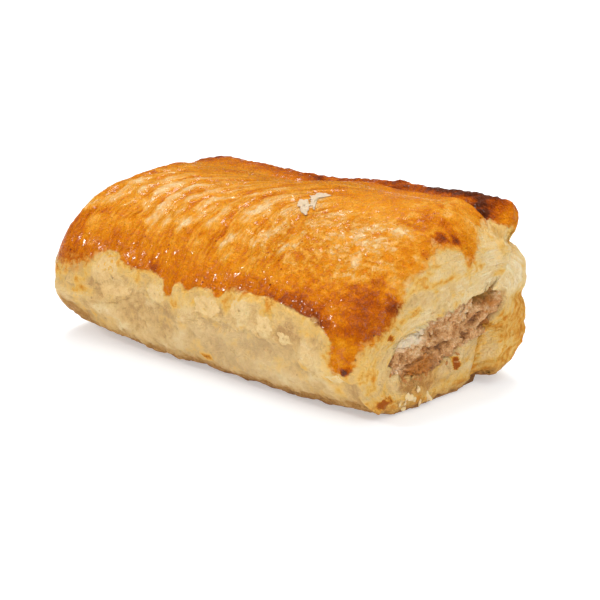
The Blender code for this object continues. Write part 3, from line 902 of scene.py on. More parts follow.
class Finish:
    """Short ways to lay out the nodes of a material or of a node group."""

    def __init__(self, tree):
        self.tree = tree

    def feed(self, socket, source):
        """Links a socket to another node's output, or sets it to a plain value."""
        if isinstance(source, bpy.types.NodeSocket):
            self.tree.links.new(source, socket)
        elif isinstance(source, tuple) and len(source) == 3 and socket.type == "RGBA":
            socket.default_value = (*source, 1.0)
        else:
            socket.default_value = source

    def node(self, kind, feeds=None, **settings):
        """A new node with its settings made and its inputs fed, each by its name or number."""
        node = self.tree.nodes.new(kind)
        for name, value in settings.items():
            setattr(node, name, value)
        for socket, source in (feeds or {}).items():
            self.feed(node.inputs[socket], source)
        return node

    def times(self, first, second):
        """One value times another."""
        return self.node("ShaderNodeMath", {0: first, 1: second}, operation="MULTIPLY").outputs[0]

    def scaled(self, value, factor, offset=0.0):
        """A value times a factor, plus an offset."""
        feeds = {0: value, 1: factor, 2: offset}
        return self.node("ShaderNodeMath", feeds, operation="MULTIPLY_ADD").outputs[0]

    def total(self, start, *parts):
        """A starting value plus each part, given as a value and its factor."""
        for value, factor in parts:
            start = self.scaled(value, factor, start)
        return start

    def between(self, value, low, high, to_low=0.0, to_high=1.0):
        """Smooth step of a value from low to high."""
        feeds = {"Value": value, "From Min": low, "From Max": high, "To Min": to_low, "To Max": to_high}
        return self.node("ShaderNodeMapRange", feeds, interpolation_type="SMOOTHSTEP").outputs["Result"]

    def field(self, name):
        """The value that the mesh carries under a name."""
        return self.node("ShaderNodeAttribute", attribute_name=name).outputs["Fac"]

    def place(self):
        """Where a point lies on the piece."""
        return self.node("ShaderNodeTexCoord").outputs["Object"]

    def grain(self, place, size_mm, layers=2.0, roughness=0.5):
        """Grain about size_mm across, from 0 to 1."""
        feeds = {"Vector": place, "Scale": 1.0 / (size_mm * MM), "Detail": layers, "Roughness": roughness}
        return self.node("ShaderNodeTexNoise", feeds).outputs["Fac"]

    def mix(self, share, first, second):
        """Blend of two colours: the second one's share goes from 0 to 1."""
        feeds = {MIX_SHARE: share, MIX_FIRST: first, MIX_SECOND: second}
        return self.node("ShaderNodeMix", feeds, data_type="RGBA").outputs[MIX_RESULT]

    def ramp(self, value, stops):
        """Colour for a value, from stops of position and colour."""
        node = self.node("ShaderNodeValToRGB", {"Fac": value})
        elements = node.color_ramp.elements
        while len(elements) < len(stops):
            elements.new(0.5)
        for element, (position, colour) in zip(elements, stops):
            element.position = position
            element.color = (*colour, 1.0)
        return node.outputs["Color"]

    def bump(self, height, depth_mm):
        """Fine relief that only bends the light."""
        feeds = {"Height": height, "Strength": 1.0, "Distance": depth_mm * MM}
        return self.node("ShaderNodeBump", feeds).outputs["Normal"]

    def use(self, group, **feeds):
        """The outputs of a node group, fed by name."""
        return self.node("ShaderNodeGroup", feeds, node_tree=group).outputs


def new_group(name, inputs, outputs):
    """An empty node group with its named inputs, each given a kind and a value, and its named outputs."""
    group = bpy.data.node_groups.new(name, "ShaderNodeTree")
    for socket, (kind, value) in inputs.items():
        made = group.interface.new_socket(name=socket, in_out="INPUT", socket_type=kind)
        if value is not None:
            made.default_value = value
    for socket, kind in outputs.items():
        group.interface.new_socket(name=socket, in_out="OUTPUT", socket_type=kind)
    finish = Finish(group)
    return group, finish, finish.node("NodeGroupInput").outputs, finish.node("NodeGroupOutput").inputs


GLAZE_COLOURS = (
    (0.00, (0.95, 0.69, 0.36)),
    (0.20, (0.90, 0.50, 0.175)),
    (0.36, (0.865, 0.370, 0.036)),
    (0.50, (0.79, 0.265, 0.006)),
    (0.63, (0.66, 0.170, 0.001)),
    (0.76, (0.48, 0.092, 0.001)),
    (0.88, (0.29, 0.048, 0.003)),
    (1.00, (0.12, 0.024, 0.006)),
)
PALE_COLOURS = (
    (0.00, (0.56, 0.32, 0.125)),
    (0.25, (0.73, 0.46, 0.185)),
    (0.50, (0.83, 0.575, 0.265)),
    (0.75, (0.90, 0.69, 0.375)),
    (1.00, (0.95, 0.81, 0.56)),
)
AMBER_COLOURS = (
    (0.00, (0.88, 0.62, 0.26)),
    (0.55, (0.86, 0.51, 0.125)),
    (0.80, (0.72, 0.28, 0.030)),
    (1.00, (0.42, 0.10, 0.012)),
)
TOAST_COLOURS = ((0.0, (0.76, 0.47, 0.16)), (0.6, (0.56, 0.28, 0.075)), (1.0, (0.30, 0.125, 0.04)))
DAMP_COLOUR = (0.72, 0.51, 0.26)
# Colours of the meat that shows through thin skin, in blotches.
SKIN_COLOURS = ((0.46, 0.185, 0.036), (0.74, 0.42, 0.13))


def glaze_colour_group():
    """Colour of baked egg glaze, from pale gold to burnt."""
    inputs = {"Bake": ("NodeSocketFloat", 0.5)}
    group, finish, given, out = new_group("glaze colour", inputs, {"Colour": "NodeSocketColor"})
    finish.feed(out["Colour"], finish.ramp(given["Bake"], GLAZE_COLOURS))
    return group


def pale_colour_group():
    """Colour of bare puff pastry: from shaded to white and flaky, then damp, amber and toast over it."""
    inputs = {"Tone": ("NodeSocketFloat", 0.5)}
    inputs.update({name: ("NodeSocketFloat", 0.0) for name in ("Damp", "Amber", "Toast")})
    group, finish, given, out = new_group("bare pastry colour", inputs, {"Colour": "NodeSocketColor"})
    colour = finish.ramp(given["Tone"], PALE_COLOURS)
    colour = finish.mix(finish.scaled(given["Damp"], 0.55), colour, DAMP_COLOUR)
    amber = finish.ramp(given["Amber"], AMBER_COLOURS)
    colour = finish.mix(finish.between(given["Amber"], -0.05, 0.65), colour, amber)
    toast = finish.ramp(given["Toast"], TOAST_COLOURS)
    colour = finish.mix(finish.between(given["Toast"], 0.05, 0.8), colour, toast)
    finish.feed(out["Colour"], colour)
    return group


def grain_group():
    """Two sizes of grain and a scatter of pores, in the piece's own place."""
    outputs = {name: "NodeSocketFloat" for name in ("Coarse", "Fine", "Pores")}
    group, finish, given, out = new_group("pastry grain", {"Place": ("NodeSocketVector", None)}, outputs)
    place = given["Place"]
    for name, size_mm, layers in (("Coarse", 1.3, 3.0), ("Fine", 0.42, 2.0)):
        grain = finish.grain(place, size_mm, layers, 0.6)
        finish.feed(out[name], finish.between(grain, 0.34, 0.66, -1.0, 1.0))
    cells = finish.node("ShaderNodeTexVoronoi", {"Vector": place, "Scale": 1.0 / (2.3 * MM)})
    cores = finish.between(cells.outputs["Distance"], 0.15, 0.07)
    where = finish.between(finish.grain(place, 7.0, 1.0), 0.50, 0.60)
    finish.feed(out["Pores"], finish.times(cores, where))
    return group


def fibres_group():
    """Long pulled streaks: quick change across, slow change along, both given in millimetres."""
    inputs = {name: ("NodeSocketFloat", 0.0) for name in ("Across", "Along")}
    outputs = {name: "NodeSocketFloat" for name in ("Wide", "Narrow")}
    group, finish, given, out = new_group("pulled fibres", inputs, outputs)
    for name, across_mm, along_mm in (("Wide", 1.5, 8.0), ("Narrow", 0.6, 6.0)):
        across = finish.scaled(given["Across"], MM / across_mm)
        along = finish.scaled(given["Along"], MM / along_mm)
        place = finish.node("ShaderNodeCombineXYZ", {"X": across, "Y": along})
        streak = finish.grain(place.outputs["Vector"], 1.0, 2.0, 0.6)
        finish.feed(out[name], finish.between(streak, 0.36, 0.64, -1.0, 1.0))
    return group


# How far light of each colour goes under a surface, beside the rest.
SCATTER_RADIUS = (1.0, 0.45, 0.18)


def new_material(name, roughness, specular, scatter=0.0, scatter_mm=1.2):
    """A material, its layout helper and its shader, with what is the same all over already set."""
    material = bpy.data.materials.new(name)
    material.use_nodes = True
    shader = material.node_tree.nodes["Principled BSDF"]
    shader.inputs["Roughness"].default_value = roughness
    shader.inputs["Specular IOR Level"].default_value = specular
    shader.inputs["Subsurface Weight"].default_value = scatter
    shader.inputs["Subsurface Scale"].default_value = scatter_mm * MM
    shader.inputs["Subsurface Radius"].default_value = SCATTER_RADIUS
    return material, Finish(material.node_tree), shader


def crust_material(groups, fields):
    """Puff pastry: egg glaze above, bare flaky pastry below and on the cut faces."""
    material, finish, shader = new_material(
        "baked puff pastry", roughness=0.5, specular=0.06, scatter=0.12, scatter_mm=1.0
    )
    shader.inputs["Specular Tint"].default_value = (1.0, 0.75, 0.40, 1.0)
    shader.inputs["Coat Roughness"].default_value = 0.10
    place = finish.place()
    field = {name: finish.field(name) for name in fields}
    grain = finish.use(groups["grain"], Place=place)
    coarse, fine, pores = grain["Coarse"], grain["Fine"], grain["Pores"]
    pulled = finish.use(groups["fibres"], Across=field["from_lip"], Along=field["round"])
    fibre = finish.times(finish.scaled(pulled["Narrow"], 0.5, pulled["Wide"]), field["face"])
    creases = finish.use(groups["fibres"], Across=field["swept"], Along=field["round"])
    crease = finish.times(finish.scaled(creases["Narrow"], 0.7, creases["Wide"]), field["creased"])
    mottle = finish.between(finish.grain(place, 2.4, 4.0, 0.75), 0.42, 0.60, 1.0, -1.0)
    mottle = finish.times(mottle, field["mottle"])

    glazed = finish.between(finish.scaled(coarse, 0.25, field["glaze"]), -0.6, 0.6)
    # The creases' ridges are painted lighter in the glaze colour, a painted highlight, as well as raised by
    # the bump.
    bake = finish.total(
        field["bake"], (coarse, 0.042), (fine, 0.032), (crease, -0.062), (pores, 0.30), (mottle, 0.12)
    )
    glaze_colour = finish.use(groups["glaze"], Bake=bake)["Colour"]

    tone = finish.scaled(field["tone"], 0.60, 0.46)
    tone = finish.total(tone, (coarse, 0.085), (fine, 0.06), (fibre, 0.07), (pores, -0.35))
    amber = finish.total(field["amber"], (coarse, 0.10), (fibre, -0.06))
    toast = finish.scaled(coarse, 0.12, field["toast"])
    pale = finish.use(groups["pale"], Tone=tone, Damp=field["damp"], Amber=amber, Toast=toast)
    blotches = finish.between(finish.grain(place, 2.6, 3.0, 0.6), 0.40, 0.60)
    meat_below = finish.mix(blotches, *SKIN_COLOURS)
    pale_colour = finish.mix(finish.scaled(field["skin"], 0.85), pale["Colour"], meat_below)
    finish.feed(shader.inputs["Base Color"], finish.mix(glazed, pale_colour, glaze_colour))

    roughness = finish.scaled(coarse, 0.05, finish.scaled(glazed, -0.32, 0.60))
    finish.feed(shader.inputs["Roughness"], roughness)
    glint = finish.between(finish.scaled(fine, 0.7, coarse), 0.3, 1.4, 0.03, 0.75)
    finish.feed(shader.inputs["Coat Weight"], finish.times(glazed, finish.times(glint, field["shine"])))
    height = finish.total(finish.scaled(fine, 0.16), (coarse, 0.30), (fibre, 0.20), (crease, 0.34))
    height = finish.total(height, (mottle, -0.34), (glazed, 0.30))
    finish.feed(shader.inputs["Normal"], finish.bump(height, 0.60))
    return material


MEAT_COLOURS = (
    (0.00, (0.20, 0.080, 0.030)),
    (0.30, (0.47, 0.205, 0.064)),
    (0.52, (0.69, 0.350, 0.130)),
    (0.75, (0.84, 0.54, 0.28)),
    (1.00, (0.92, 0.74, 0.54)),
)
SEARED_COLOUR = (0.56, 0.20, 0.030)
FAT_COLOUR = (0.92, 0.74, 0.50)
# Painted shade for the pocket under the top right of the lip.
POCKET_SHADE_COLOUR = (0.36, 0.19, 0.028)


def meat_material(groups):
    """Coarsely ground sausage meat, cooked grey-brown with paler fat, with painted shade in its hollows and
    in the pocket under the lip.
    """
    material, finish, shader = new_material(
        "cooked sausage meat", roughness=0.5, specular=0.3, scatter=0.15, scatter_mm=1.0
    )
    place = finish.place()
    grain = finish.use(groups["grain"], Place=place)
    coarse, fine = grain["Coarse"], grain["Fine"]
    tone = finish.scaled(finish.grain(place, 2.8, 3.0, 0.6), 1.1, -0.08)
    # Painted shade: the meat is darker in its hollows.
    tone = finish.total(tone, (finish.field("hollow_shade"), -0.30), (fine, 0.10), (coarse, 0.08))
    colour = finish.ramp(tone, MEAT_COLOURS)
    seared = finish.scaled(coarse, 0.2, finish.field("seared"))
    colour = finish.mix(finish.between(seared, 0.3, 1.1), colour, SEARED_COLOUR)
    colour = finish.mix(finish.field("strip"), colour, FAT_COLOUR)
    # Painted shade in the pocket.
    colour = finish.mix(finish.field("pocket"), colour, POCKET_SHADE_COLOUR)
    finish.feed(shader.inputs["Base Color"], colour)
    height = finish.scaled(coarse, 0.5, finish.scaled(fine, 0.3))
    finish.feed(shader.inputs["Normal"], finish.bump(height, 0.30))
    return material


# ---------------------------------------------------------------- the meat
MEAT_AROUND = 240
MEAT_CAP_RINGS = 46
MEAT_BODY_RINGS = 6
MEAT_BEHIND_LIP = 0.9
# How far from each end the plain bar of meat stops.
MEAT_PLAIN_INSET = 5.0
# Loose grains lie between these rings of each end, counted from its middle.
GRAINS_FROM_RING = 6
GRAINS_TO_RING = MEAT_CAP_RINGS - 5
# How finely each scattered lump is divided, and the most that it is turned about each axis, in radians.
LUMP_SUBDIVISIONS = 2
LUMP_TURN = 6.28
# Sizes of the roughness on a lump, in millimetres.
LUMP_ROUGHNESS = 1.1
# How seared the grains are that stick to the skin of pastry.
SEARED_ON_SKIN = 0.75


def lip_ring(crust, row, turns):
    """The lip of pastry at one end, as points at angles round the meat."""
    places = channel_turns(section_angles(AROUND))
    ring = crust.points[row]
    return np.stack([np.interp(turns, places, ring[:, axis], period=2 * math.pi) for axis in range(3)], -1)


def meat_cap(crust, row, end, side, turns):
    """Rings from the middle of an end out to its rim, which lies just behind the lip of pastry."""
    lip = lip_ring(crust, row, turns)
    middle = np.array([end, CHANNEL_CENTRE[0], CHANNEL_CENTRE[1]]) + crust.shift
    away = lip - middle
    away[:, 0] = 0.0
    away = away / np.linalg.norm(away, axis=1, keepdims=True)
    low = ease(23.0, 17.0, lip[:, 2]) * ease(0.3, -0.2, away[:, 2])
    rim = lip + away * (0.5 + 0.4 * low)[:, None]
    rim[:, 0] = lip[:, 0] - side * (MEAT_BEHIND_LIP * (1.0 - low) + 0.2 * low)
    rings = []
    for size in np.linspace(0.012, 1.0, MEAT_CAP_RINGS) ** 0.8:
        ring = middle + (rim - middle) * size
        ring[:, 0] = middle[0] + (rim[:, 0] - middle[0]) * size**2
        rings.append(ring)
    return rings


def crumble_meat(base):
    """Breaks up both cut ends of the meat: the moved points, and the fields that its finish reads."""
    x, y, z = np.moveaxis(base, 2, 0)
    lumps, crumbs = (Grain(seed) for seed in MEAT_SEEDS)
    right = ease(0.0, 1.0, x)
    near_end = np.maximum(ease(46.0, 50.0, x), ease(-48.0, -52.0, x))
    depth = 1.0 - 2.2 * np.abs(lumps.at(base * (1.0, 0.55, 1.0), 2.6))
    small = 1.0 - 2.2 * np.abs(crumbs.at(base, 1.3))
    height = near_end * (0.80 * depth + 0.42 * small + 0.16 * crumbs.at(base, 0.8)) - 0.5
    # The pocket under the lip's top right is sunk, and painted dark as shade.
    pocket = hump(y, 14.2, 3.2) * ease(21.6, 23.4, z + 0.5 * small) * near_end * right
    height = height - 3.6 * pocket
    points = base.copy()
    points[:, :, 0] += np.sign(x) * near_end * height
    points[:, :, 1] += near_end * 0.35 * lumps.at(base + 9.0, 2.0)
    points[:, :, 2] += near_end * 0.35 * lumps.at(base + 19.0, 2.0)
    blotches = lumps.at(base, 4.0)
    above = z - 15.0 - 0.32 * y + 1.5 * blotches
    low_left = ease(2.0, -7.0, y + 3.0 * lumps.at(base, 5.0)) * ease(3.0, -1.0, above)
    # Painted shade: darker where the surface sinks between lumps; the field is also darker low on the front
    # side, and lighter above a slanting line and towards the back.
    hollow_shade = near_end * ease(0.3, -0.9, height) - 0.25 * ease(-6.0, 8.0, y) - 0.5 * ease(0.0, 4.0, above)
    strip = near_end * ease(-0.3, 0.6, blotches + 1.6 * hump(y, -12.5, 4.5) - 0.35)
    seared = 0.85 * hump(y, 16.5, 2.6) * ease(-0.8, 0.3, crumbs.at(base, 1.6))
    return points, {
        "hollow_shade": hollow_shade + near_end * 0.65 * low_left,
        "seared": near_end * (seared + 1.05 * low_left) * right,
        "strip": strip * ease(17.0, 18.2, z + 0.5 * small) * ease(-6.5, -9.5, y),
        "pocket": pocket,
    }


def build_meat(crust, material):
    """The bar of meat: plain inside the wrap, crumbled at both cut ends, where it fills the torn mouth."""
    turns = np.linspace(0.0, 2 * math.pi, MEAT_AROUND, endpoint=False)[::-1]
    y, z = channel_point(turns, MEAT_GAP)
    body = np.stack([np.zeros_like(y), y, z], -1) + crust.shift
    body[:, 0] = 0.0
    rings = meat_cap(crust, crust.left_lip, MEAT_LEFT_END, -1, turns)
    left, right = MEAT_LEFT_END + MEAT_PLAIN_INSET, MEAT_RIGHT_END - MEAT_PLAIN_INSET
    for x in np.linspace(left, right, MEAT_BODY_RINGS):
        rings.append(body + (x, 0.0, 0.0))
    rings += meat_cap(crust, crust.right_lip, MEAT_RIGHT_END, 1, turns)[::-1]
    points, finish = crumble_meat(np.array(rings))
    faces = ring_faces(len(points), MEAT_AROUND, closed=False)
    last = (len(points) - 1) * MEAT_AROUND
    left_middle = points[..., 0].size
    right_middle = left_middle + 1
    for place in range(MEAT_AROUND):
        beside = (place + 1) % MEAT_AROUND
        faces.append((left_middle, place, beside))
        faces.append((right_middle, last + beside, last + place))
    whole = np.vstack([points.reshape(-1, 3), points[0].mean(axis=0), points[-1].mean(axis=0)])
    fields = {name: np.append(values.ravel(), (0.0, 0.0)) for name, values in finish.items()}
    return add_piece("meat_filling", whole, faces, material, fields), points, finish


def scatter_tree():
    """Scatters small rough lumps over a surface, each one turned and stretched its own way."""
    tree = bpy.data.node_groups.new("scattered lumps", "GeometryNodeTree")
    inputs = {
        "Geometry": "NodeSocketGeometry",
        "Per Square Metre": "NodeSocketFloat",
        "Seed": "NodeSocketInt",
        "Smallest": "NodeSocketVector",
        "Largest": "NodeSocketVector",
        "Roughen": "NodeSocketFloat",
        "Material": "NodeSocketMaterial",
    }
    for name, kind in inputs.items():
        tree.interface.new_socket(name=name, in_out="INPUT", socket_type=kind)
    tree.interface.new_socket(name="Geometry", in_out="OUTPUT", socket_type="NodeSocketGeometry")
    finish = Finish(tree)
    given = finish.node("NodeGroupInput").outputs
    feeds = {"Mesh": given["Geometry"], "Density": given["Per Square Metre"], "Seed": given["Seed"]}
    scatter = finish.node("GeometryNodeDistributePointsOnFaces", feeds, distribute_method="RANDOM")
    lump = finish.node("GeometryNodeMeshIcoSphere", {"Radius": 1.0, "Subdivisions": LUMP_SUBDIVISIONS})
    feeds = {"Max": (LUMP_TURN, LUMP_TURN, LUMP_TURN), "Seed": given["Seed"]}
    turn = finish.node("FunctionNodeRandomValue", feeds, data_type="FLOAT_VECTOR")
    feeds = {"Min": given["Smallest"], "Max": given["Largest"]}
    size = finish.node("FunctionNodeRandomValue", feeds, data_type="FLOAT_VECTOR")
    feeds = {
        "Points": scatter.outputs["Points"],
        "Instance": lump.outputs["Mesh"],
        "Rotation": turn.outputs["Value"],
        "Scale": size.outputs["Value"],
    }
    lumps = finish.node("GeometryNodeInstanceOnPoints", feeds)
    real = finish.node("GeometryNodeRealizeInstances", {"Geometry": lumps.outputs["Instances"]})
    rough = finish.node("ShaderNodeTexNoise", {"Scale": 1.0 / (LUMP_ROUGHNESS * MM), "Detail": 2.0})
    feeds = {0: rough.outputs["Color"], 1: (0.5, 0.5, 0.5)}
    centred = finish.node("ShaderNodeVectorMath", feeds, operation="SUBTRACT")
    feeds = {0: centred.outputs["Vector"], "Scale": given["Roughen"]}
    push = finish.node("ShaderNodeVectorMath", feeds, operation="SCALE")
    feeds = {"Geometry": real.outputs["Geometry"], "Offset": push.outputs["Vector"]}
    moved = finish.node("GeometryNodeSetPosition", feeds)
    feeds = {"Geometry": moved.outputs["Geometry"], "Material": given["Material"]}
    coloured = finish.node("GeometryNodeSetMaterial", feeds)
    finish.node("NodeGroupOutput", {"Geometry": coloured.outputs["Geometry"]})
    return tree


def scatter_lumps(name, points, faces, tree, fields=None, **values):
    """A piece of many small lumps, scattered over a bed of points in millimetres."""
    piece = add_piece(name, points, faces, values["Material"], fields)
    modifier = piece.modifiers.new("scatter", "NODES")
    modifier.node_group = tree
    for socket in tree.interface.items_tree:
        if socket.in_out == "INPUT" and socket.name.replace(" ", "_") in values:
            modifier[socket.identifier] = values[socket.name.replace(" ", "_")]
    graph = bpy.context.evaluated_depsgraph_get()
    mesh = bpy.data.meshes.new_from_object(piece.evaluated_get(graph), depsgraph=graph)
    piece.modifiers.remove(modifier)
    piece.data = mesh
    mesh.name = name
    mesh.shade_smooth()
    return piece


def faces_where(chosen):
    """Faces between open rings, where the first corner of each is among the chosen points."""
    faces = np.array(ring_faces(*chosen.shape, closed=False))
    return faces[chosen.ravel()[faces[:, 0]]].tolist()


def joined(parts):
    """Several parts, each given as rings of points and their faces, made into one."""
    points = []
    faces = []
    start = 0
    for rings, ring_corners in parts:
        points.append(rings.reshape(-1, 3))
        faces += [tuple(start + corner for corner in face) for face in ring_corners]
        start += len(points[-1])
    return np.vstack(points), faces


def build_meat_grains(points, finish, crust, tree, material):
    """Loose grains of meat that stand out from both cut ends and stick to the skin of pastry below."""
    edge = crust.points[crust.right_lip - 5 : crust.right_lip + 1]
    low = (edge[..., 2] < 14.5) & (edge[..., 1] < 7.0) & (edge[..., 1] > -20.0)
    ends = (slice(GRAINS_FROM_RING, GRAINS_TO_RING), slice(-GRAINS_TO_RING, -GRAINS_FROM_RING))
    parts = [(points[rows], ring_faces(len(points[rows]), MEAT_AROUND, closed=False)) for rows in ends]
    bed, faces = joined([*parts, (edge, faces_where(low))])
    fields = {}
    for name, values in finish.items():
        on_skin = np.full(low.size, SEARED_ON_SKIN if name == "seared" else 0.0)
        fields[name] = np.concatenate([values[rows].ravel() for rows in ends] + [on_skin])
    return scatter_lumps(
        "meat_grains", bed, faces, tree, fields, Material=material, Seed=4, Per_Square_Metre=150000.0,
        Smallest=(0.0002, 0.0004, 0.0002), Largest=(0.0006, 0.0013, 0.0006), Roughen=0.0006,
    )


def build_crumbs(crust, tree, material):
    """Crumbs of torn pastry caught on the lower half of the right cut face."""
    bed = crust.points[ALONG : crust.right_lip - 4]
    y, z = bed[..., 1], bed[..., 2]
    faces = faces_where((z > 1.2) & (z < 5.6) & (y > -18.5) & (y < -3.5))
    return scatter_lumps(
        "pastry_crumbs", bed, faces, tree, Material=material, Seed=9, Per_Square_Metre=160000.0,
        Smallest=(0.0003, 0.0003, 0.0002), Largest=(0.0015, 0.0012, 0.0007), Roughen=0.0009,
    )


# ---------------------------------------------------------------- loose leaves of pastry
# The bare flake lying on the glaze, in two torn lobes: length along the roll, length round from the top.
BARE_FLAKE = (
    (
        (6.55, 0.7), (9.5, 3.2), (12.1, 2.8), (11.65, 1.5), (10.4, 0.7), (11.0, -2.3), (13.35, -5.1),
        (10.4, -3.15), (8.7, -1.0),
    ),
    (
        (6.55, -2.7), (7.8, -2.1), (9.5, -2.5), (11.0, -4.0), (12.1, -6.1), (13.8, -8.25), (10.8, -7.0),
        (7.8, -5.3),
    ),
)
# Torn leaves that lie on the pale front: outline as above, then tone.
FRONT_LEAVES = (
    (((-36.4, -34.2), (-33.9, -33.2), (-32.3, -34.2), (-29.3, -38.5), (-24.0, -41.8), (-27.7, -44.4),
      (-33.5, -46.6), (-37.2, -38.9)), -0.12),
    (((18.0, -39.0), (22.5, -38.6), (24.2, -42.0), (22.0, -45.2), (18.6, -44.0)), 0.14),
    (((25.3, -42.0), (28.8, -41.6), (29.6, -44.2), (26.6, -45.4)), 0.16),
    (((-2.5, -38.2), (4.0, -37.6), (6.2, -40.8), (3.0, -43.6), (-2.0, -42.6)), 0.08),
    (((9.6, -36.6), (15.5, -36.0), (17.0, -39.6), (13.4, -43.0), (10.0, -41.4)), 0.10),
    (((-18.5, -38.4), (-14.0, -37.8), (-12.8, -41.6), (-16.0, -43.4), (-19.2, -41.6)), 0.05),
    (((40.8, -50.3), (44.8, -49.6), (46.0, -51.6), (42.2, -52.2)), 0.35),
    (((33.0, -43.0), (37.5, -44.5), (38.5, -48.0), (34.5, -48.6), (31.8, -45.8)), 0.05),
)
LEAF_AROUND = 72
# How far out each ring of a leaf lies, and how far down through the sheet.
LEAF_RINGS = (
    (0.03, 0.0), (0.25, 0.0), (0.5, 0.0), (0.75, 0.0), (0.9, 0.05), (0.97, 0.15), (1.0, 0.5), (0.97, 0.85),
    (0.75, 1.0), (0.4, 1.0), (0.03, 1.0),
)
# How leaves lie: lift off the crust, thickness, and how far their edges curl up.
FRONT_LEAF_LIE = (0.02, 0.35, 0.22)
FLAKE_LIE = (0.25, 0.22, 0.7)
FLAKE_TONE = 1.0
# Small leaves: how many, and their length round from the top; None follows the edge of the upper sheet.
SMALL_LEAVES = ((16, None), (24, 50.0), (16, 58.0))
SMALL_LEAF_CORNERS = 8
SMALL_LEAF_LIFT = -0.02
SMALL_LEAF_THICKNESS = 0.3
DRY_COLOUR = (0.60, 0.46, 0.33)


def leaf_rings(crust, outline, lift, thickness, curl, grain):
    """A thin torn sheet on the crust, as rings from its upper middle over the edge to its lower middle."""
    outline = np.array(outline)
    closed = np.vstack([outline, outline[:1]])
    reach = np.concatenate([[0.0], np.cumsum(np.linalg.norm(np.diff(closed, axis=0), axis=1))])
    steps = np.arange(LEAF_AROUND) / LEAF_AROUND * reach[-1]
    edge = np.stack([np.interp(steps, reach, closed[:, 0]), np.interp(steps, reach, closed[:, 1])], -1)
    middle = outline.mean(axis=0)
    fray = grain.layered(flat(edge[:, 0] / 1.3, edge[:, 1] / 1.3), 1.0, 3, 0.7)
    away = (edge - middle) / np.linalg.norm(edge - middle, axis=1, keepdims=True)
    edge = edge + away * 0.5 * fray[:, None]
    rise = curl * np.maximum(0.0, grain.at(flat(edge[:, 0] / 3.5, edge[:, 1] / 3.5, 5.0)))
    rings = []
    for share, level in LEAF_RINGS:
        place = middle + (edge - middle) * share
        height = lift + rise * share**2 - thickness * level
        rings.append(crust.place(place[:, 0], place[:, 1], height))
    return np.array(rings)


def build_leaves(name, crust, leaves, material):
    """Several leaves as one piece: each is an outline, a tone, a lift, a thickness and a curl."""
    grain = Grain(LEAF_GRAIN_SEED)
    parts = []
    tones = []
    for outline, tone, lift, thickness, curl in leaves:
        rings = leaf_rings(crust, outline, lift, thickness, curl, grain)
        faces = ring_faces(len(rings), LEAF_AROUND, closed=False)
        last = (len(rings) - 1) * LEAF_AROUND
        faces.append(tuple(range(LEAF_AROUND))[::-1])
        faces.append(tuple(range(last, last + LEAF_AROUND)))
        parts.append((rings, faces))
        tones += [tone] * rings[..., 0].size
    points, faces = joined(parts)
    return add_piece(name, points, faces, material, {"tone": tones})


def small_leaves(maker, count, middle):
    """Outlines for small torn leaves along a line on the bare pastry."""
    angles = np.linspace(0.0, 2 * math.pi, SMALL_LEAF_CORNERS, endpoint=False)
    leaves = []
    for _ in range(count):
        along = maker.uniform(-48.0, 40.0)
        line = along_edge(SHEET_EDGE, along) if middle is None else middle
        around = line + maker.normal(0.3, 1.3)
        length = maker.uniform(1.5, 4.5)
        width = length * maker.uniform(0.25, 0.55)
        turn = maker.normal(0.0, 0.3)
        radii = maker.uniform(0.6, 1.1, SMALL_LEAF_CORNERS)
        first = length * radii * np.cos(angles)
        second = -width * radii * np.sin(angles)
        turned_first = first * math.cos(turn) - second * math.sin(turn)
        turned_second = first * math.sin(turn) + second * math.cos(turn)
        outline = np.stack([along + turned_first, around + turned_second], -1)
        tone = maker.uniform(-0.2, 0.10)
        curl = maker.uniform(0.0, 0.3)
        leaves.append((outline, tone, SMALL_LEAF_LIFT, SMALL_LEAF_THICKNESS, curl))
    return leaves


def leaf_material(groups, name, lowest, spread, dryness=0.0):
    """Thin pastry that the egg didn't reach: a lowest tone, and how much of each leaf's own is added."""
    material, finish, shader = new_material(
        name, roughness=0.6, specular=0.14, scatter=0.12, scatter_mm=0.8
    )
    grain = finish.use(groups["grain"], Place=finish.place())
    coarse, fine = grain["Coarse"], grain["Fine"]
    tone = finish.scaled(finish.field("tone"), spread, lowest)
    tone = finish.total(tone, (coarse, 0.08), (fine, 0.06))
    amber = finish.scaled(coarse, 0.05)
    colour = finish.use(groups["pale"], Tone=tone, Damp=0.0, Amber=amber, Toast=0.0)["Colour"]
    finish.feed(shader.inputs["Base Color"], finish.mix(dryness, colour, DRY_COLOUR))
    height = finish.scaled(coarse, 0.3, finish.scaled(fine, 0.2))
    finish.feed(shader.inputs["Normal"], finish.bump(height, 0.25))
    return material


# ---------------------------------------------------------------- camera, floor and light
CAMERA_TARGET = (5.10, 1.53, 14.83)
CAMERA_AZIMUTH = 43.52
CAMERA_ELEVATION = 17.70
CAMERA_DISTANCE = 546.8
CAMERA_LENS = 129.8
CAMERA_SENSOR = 36.0

FLOOR_HALF_WIDTH = 4000.0
FLOOR_LEVEL = -0.02
FLOOR_COLOUR = (0.66, 0.69, 0.72)
FLOOR_GLOW_COLOUR = (1.0, 0.995, 0.99)
FLOOR_GLOW = 0.42

# The corners of a square, each way from its middle.
SQUARE = ((-1, -1), (1, -1), (1, 1), (-1, 1))

# Each sun's name, strength, azimuth and elevation in degrees, and how wide it looks in degrees.
SUNS = (
    ("top light", 1.85, 222.0, 60.0, 30.0),
    ("left light", 0.86, -42.0, 38.0, 10.0),
    ("right light", 1.22, 62.0, 38.0, 50.0),
)
SUN_DISTANCE = 900.0
SUN_TARGET = (0.0, 0.0, 15.0)


def aim(thing, place, target):
    """Puts a camera or a light at a place in millimetres, looking at a target."""
    place = Vector(place) * MM
    thing.location = place
    thing.rotation_euler = (Vector(target) * MM - place).to_track_quat("-Z", "Y").to_euler()


def from_angles(target, azimuth, elevation, distance):
    """The place at a distance from a target, at angles in degrees round from the front and up."""
    a = math.radians(azimuth)
    e = math.radians(elevation)
    back = Vector((math.sin(a) * math.cos(e), -math.cos(a) * math.cos(e), math.sin(e)))
    return Vector(target) + back * distance


